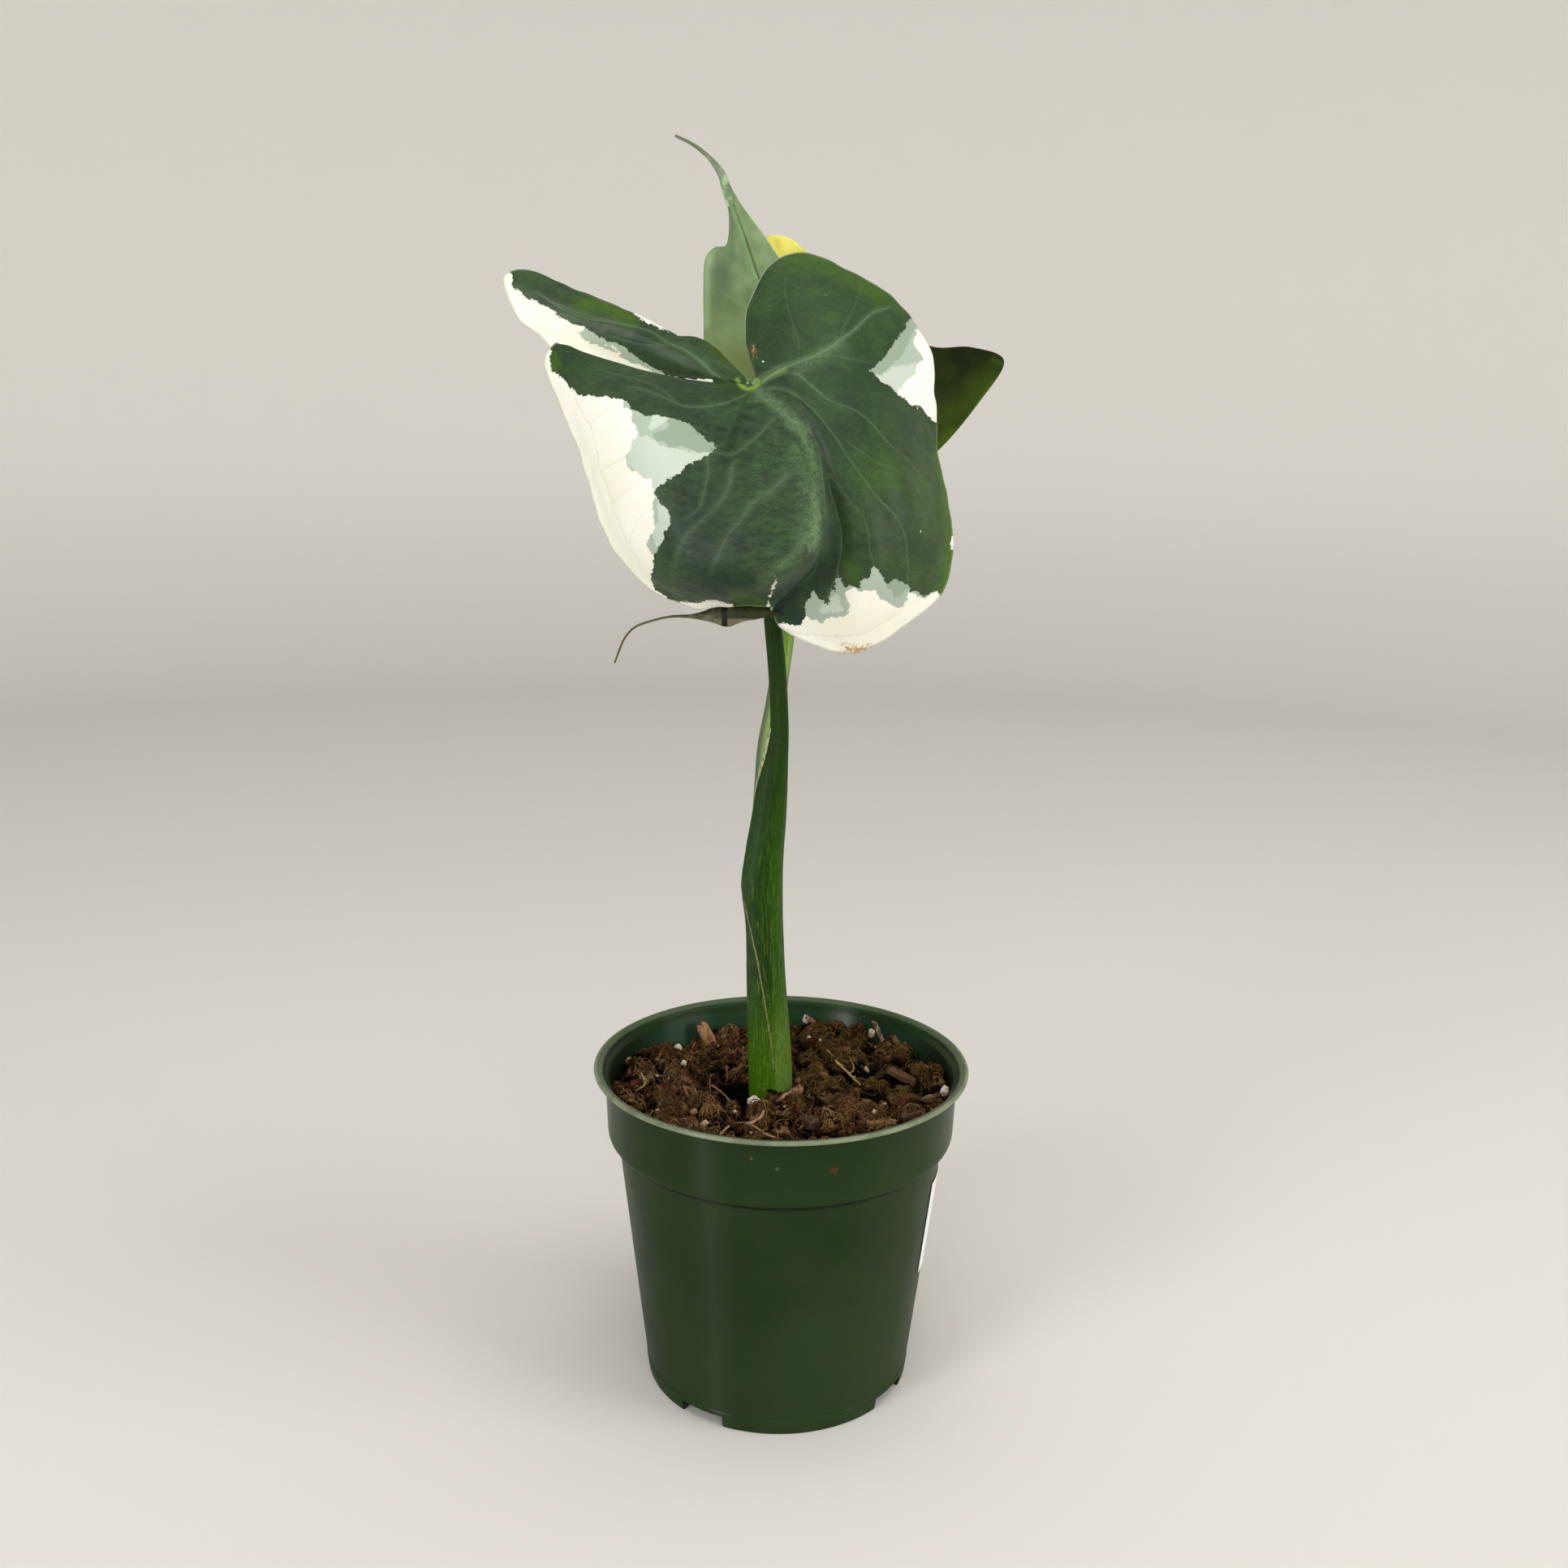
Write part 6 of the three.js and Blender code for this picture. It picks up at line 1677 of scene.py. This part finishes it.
# Perlite: rough white grains, with centre and size in millimetres, and grit by pixel with its size
perlite = {
    "perlite_1": ((-31.6, 30.4, 84.0), (2.4, 2.2, 2.7)), "perlite_2": ((7.6, 45.6, 88.2), (2.0, 1.9, 2.8)),
    "perlite_3": ((46.3, -5.5, 87), (2.2, 2.2, 3.5)), "perlite_4": ((-7.4, -8.4, 84.5), (3.8, 2.9, 2.9)),
    "perlite_5": ((-28.6, 12.5, 86.5), (1.5, 1.4, 2.5)),
}
grit = {
    "gritC": ((885, 1289), 1.1), "gritD": ((883, 1297), 0.9), "gritE": ((878, 1338), 0.9),
    "gritF": ((996.5, 1278), 1.5), "gritG": ((1010.6, 1282), 1.1), "gritH": ((1079, 1290), 1.0),
    "gritI": ((1077, 1370), 1.4), "gritJ": ((967, 1364), 0.9), "gritK": ((906, 1370), 1.3),
    "gritL": ((809.5, 1325.5), 1.2), "gritM": ((824, 1329), 1.2), "gritN": ((1090, 1360), 0.8),
    "gritO": ((867, 1391), 1.0), "gritP": ((1131, 1290), 0.9), "gritQ": ((1046, 1380), 0.8),
    "gritR": ((925, 1396), 0.8), "gritS": ((790, 1350), 0.8),
}


def buildPerlite(dustFrom):
    def build(tree, position):
        pits = grain(tree, position, 1300.0, 4.0, 0.65)
        dust = ramp(tree, grain(tree, position, 500.0, 4.0), dustFrom, dustFrom + 0.2, 0.0, 0.6)
        tone = paint(tree, soilColours["cream"], (ramp(tree, pits, 0.3, 0.62), soilColours["white"]),
                     (dust, soilColours["tan"]))
        return {"Base Color": tone, "Normal": bumpFrom(tree, pits, 0.0005, 0.9)}
    return build


perliteMaterial = makeMaterial("perlite", buildPerlite(0.52), Roughness=0.85, Specular_IOR_Level=0.3)
gritMaterial = makeMaterial("grit", buildPerlite(0.3), Roughness=0.85, Specular_IOR_Level=0.2)


def roughGrain(bm, centre, size, fine=3):
    place = Matrix.Translation(Vector(centre) * mm) @ Matrix.Diagonal(Vector(size) * mm / 2).to_4x4()
    seed = drawnShift(30)
    fresh = bmesh.ops.create_icosphere(bm, subdivisions=fine, radius=1)["verts"]
    for vert in fresh:
        lump = noise.noise(vert.co * 1.3 + seed) * 0.35 + noise.noise(vert.co * 3.5 + seed) * 0.16
        vert.co = place @ (vert.co * (1 + lump))
    return 0.0, fresh


for name, (centre, size) in perlite.items():
    bm = bmesh.new()
    roughGrain(bm, centre, size, 4)
    linkPiece(name.replace("_", ""), meshFrom(bm, name), perliteMaterial, [name])

gritPlaces = [(soilPlace(*pixel, 0.8), size * 0.8) for pixel, size in grit.values()]
for _ in range(mix["grit"]):
    spotX, spotY = randomSpot(2)
    gritPlaces.append(((spotX, spotY, roughHeight(spotX, spotY) + 0.2), drawn(0.3, 0.4)))
gritQueue = iter(gritPlaces)


def makeGrit(bm):
    centre, size = next(gritQueue)
    return roughGrain(bm, centre, (size * drawn(1, 0.4), size, size * drawn(0.8, 0.5)), 2)


scatter("perliteGrit", len(gritPlaces), makeGrit, gritMaterial)
print("perlite placed")


# The corm is inside the mix
def buildCorm(tree, position):
    rings = grain(tree, stretch(tree, position, (1.0, 1.0, 6.0)), 160.0, 4.0)
    tone = paint(tree, soilColours["red"], (rings, soilColours["tan"]))
    return {"Base Color": tone, "Normal": bumpFrom(tree, rings, 0.0005, 0.6)}


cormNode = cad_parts["corm_with_roots"]
cormNode.data.materials.clear()
cormNode.data.materials.append(makeMaterial("corm", buildCorm, Roughness=0.8))

# Floor, backdrop and light, in metres
studio = {
    "floorRadius": 1.3, "bend": 0.5, "bendSteps": 12, "wallTop": 1.7, "steps": 96, "fadeFrom": -0.45,
    "fadeTo": -1.2,
}
studioTones = palette(wall=(240, 237, 231), floor=(224, 221, 215), behind=(168, 166, 162),
                      sides=(172, 170, 166))
roomLight = {"color": (0.9, 0.9, 0.92, 1), "strength": 0.35}


def buildPaper(tree, position):
    _, y, z = split(tree, position)
    aside = times(tree, ramp(tree, y, 0.75, 0.2), ramp(tree, z, 0.02, 0.4))
    behind = ramp(tree, y, studio["fadeFrom"], studio["fadeTo"])
    tone = paint(tree, studioTones["floor"], (ramp(tree, z, 0.0, 0.3), studioTones["wall"]),
                 (aside, studioTones["sides"]), (behind, studioTones["behind"]))
    return {"Base Color": tone}


def buildStudio():
    s = studio
    profile = [(0, 0), (s["floorRadius"], 0)]
    for k in range(1, s["bendSteps"] + 1):
        turn = math.pi / 2 * k / s["bendSteps"]
        profile.append((s["floorRadius"] + s["bend"] * math.sin(turn), s["bend"] * (1 - math.cos(turn))))
    profile.append((s["floorRadius"] + s["bend"], s["wallTop"]))
    mesh = meshFrom(revolve(profile, s["steps"], 1), "backdrop")
    mesh.shade_smooth()
    mesh.materials.append(makeMaterial("backdropPaper", buildPaper, Roughness=0.9, Specular_IOR_Level=0.2))
    linkObject("backdrop", mesh)


# Place, aim, size, power and colour
lights = {
    "window": ((-0.87, -0.93, 0.52), (0, 0, 0.15), (0.42, 1.0), 8.2, (0.98, 0.99, 1)),
    "overhead": ((0.1, -0.3, 1.5), (0, 0, 0.15), (1.4, 1.2), 9, (1, 0.985, 0.96)),
    "fill": ((1.3, -0.45, 0.5), (0, 0, 0.12), (0.8, 0.8), 11, (1, 0.99, 0.97)),
    "front": ((0.15, -1.35, 0.7), (0, 0, 0.2), (1.2, 0.5), 5.5, (1, 0.99, 0.97)),
    "strip": ((-0.6, -0.58, 0.22), (0, 0, 0.07), (0.08, 0.4), 5, (1, 1, 1)),
}


def buildLights():
    for name, (place, aim, size, power, tint) in lights.items():
        data = bpy.data.lights.new(name, "AREA")
        data.shape, data.energy, data.color = "RECTANGLE", power, tint
        data.size, data.size_y = size
        lamp = linkObject(name, data)
        lamp.visible_diffuse = name != "strip"
        lamp.location = place
        lamp.rotation_euler = (Vector(aim) - Vector(place)).to_track_quat("-Z", "Y").to_euler()
    world = bpy.data.worlds.new("room")
    world.use_nodes = True
    background = world.node_tree.nodes["Background"].inputs
    background["Color"].default_value = roomLight["color"]
    background["Strength"].default_value = roomLight["strength"]
    bpy.context.scene.world = world
    bpy.context.scene.view_settings.view_transform = "Standard"


buildStudio()
buildLights()
print("studio lit")
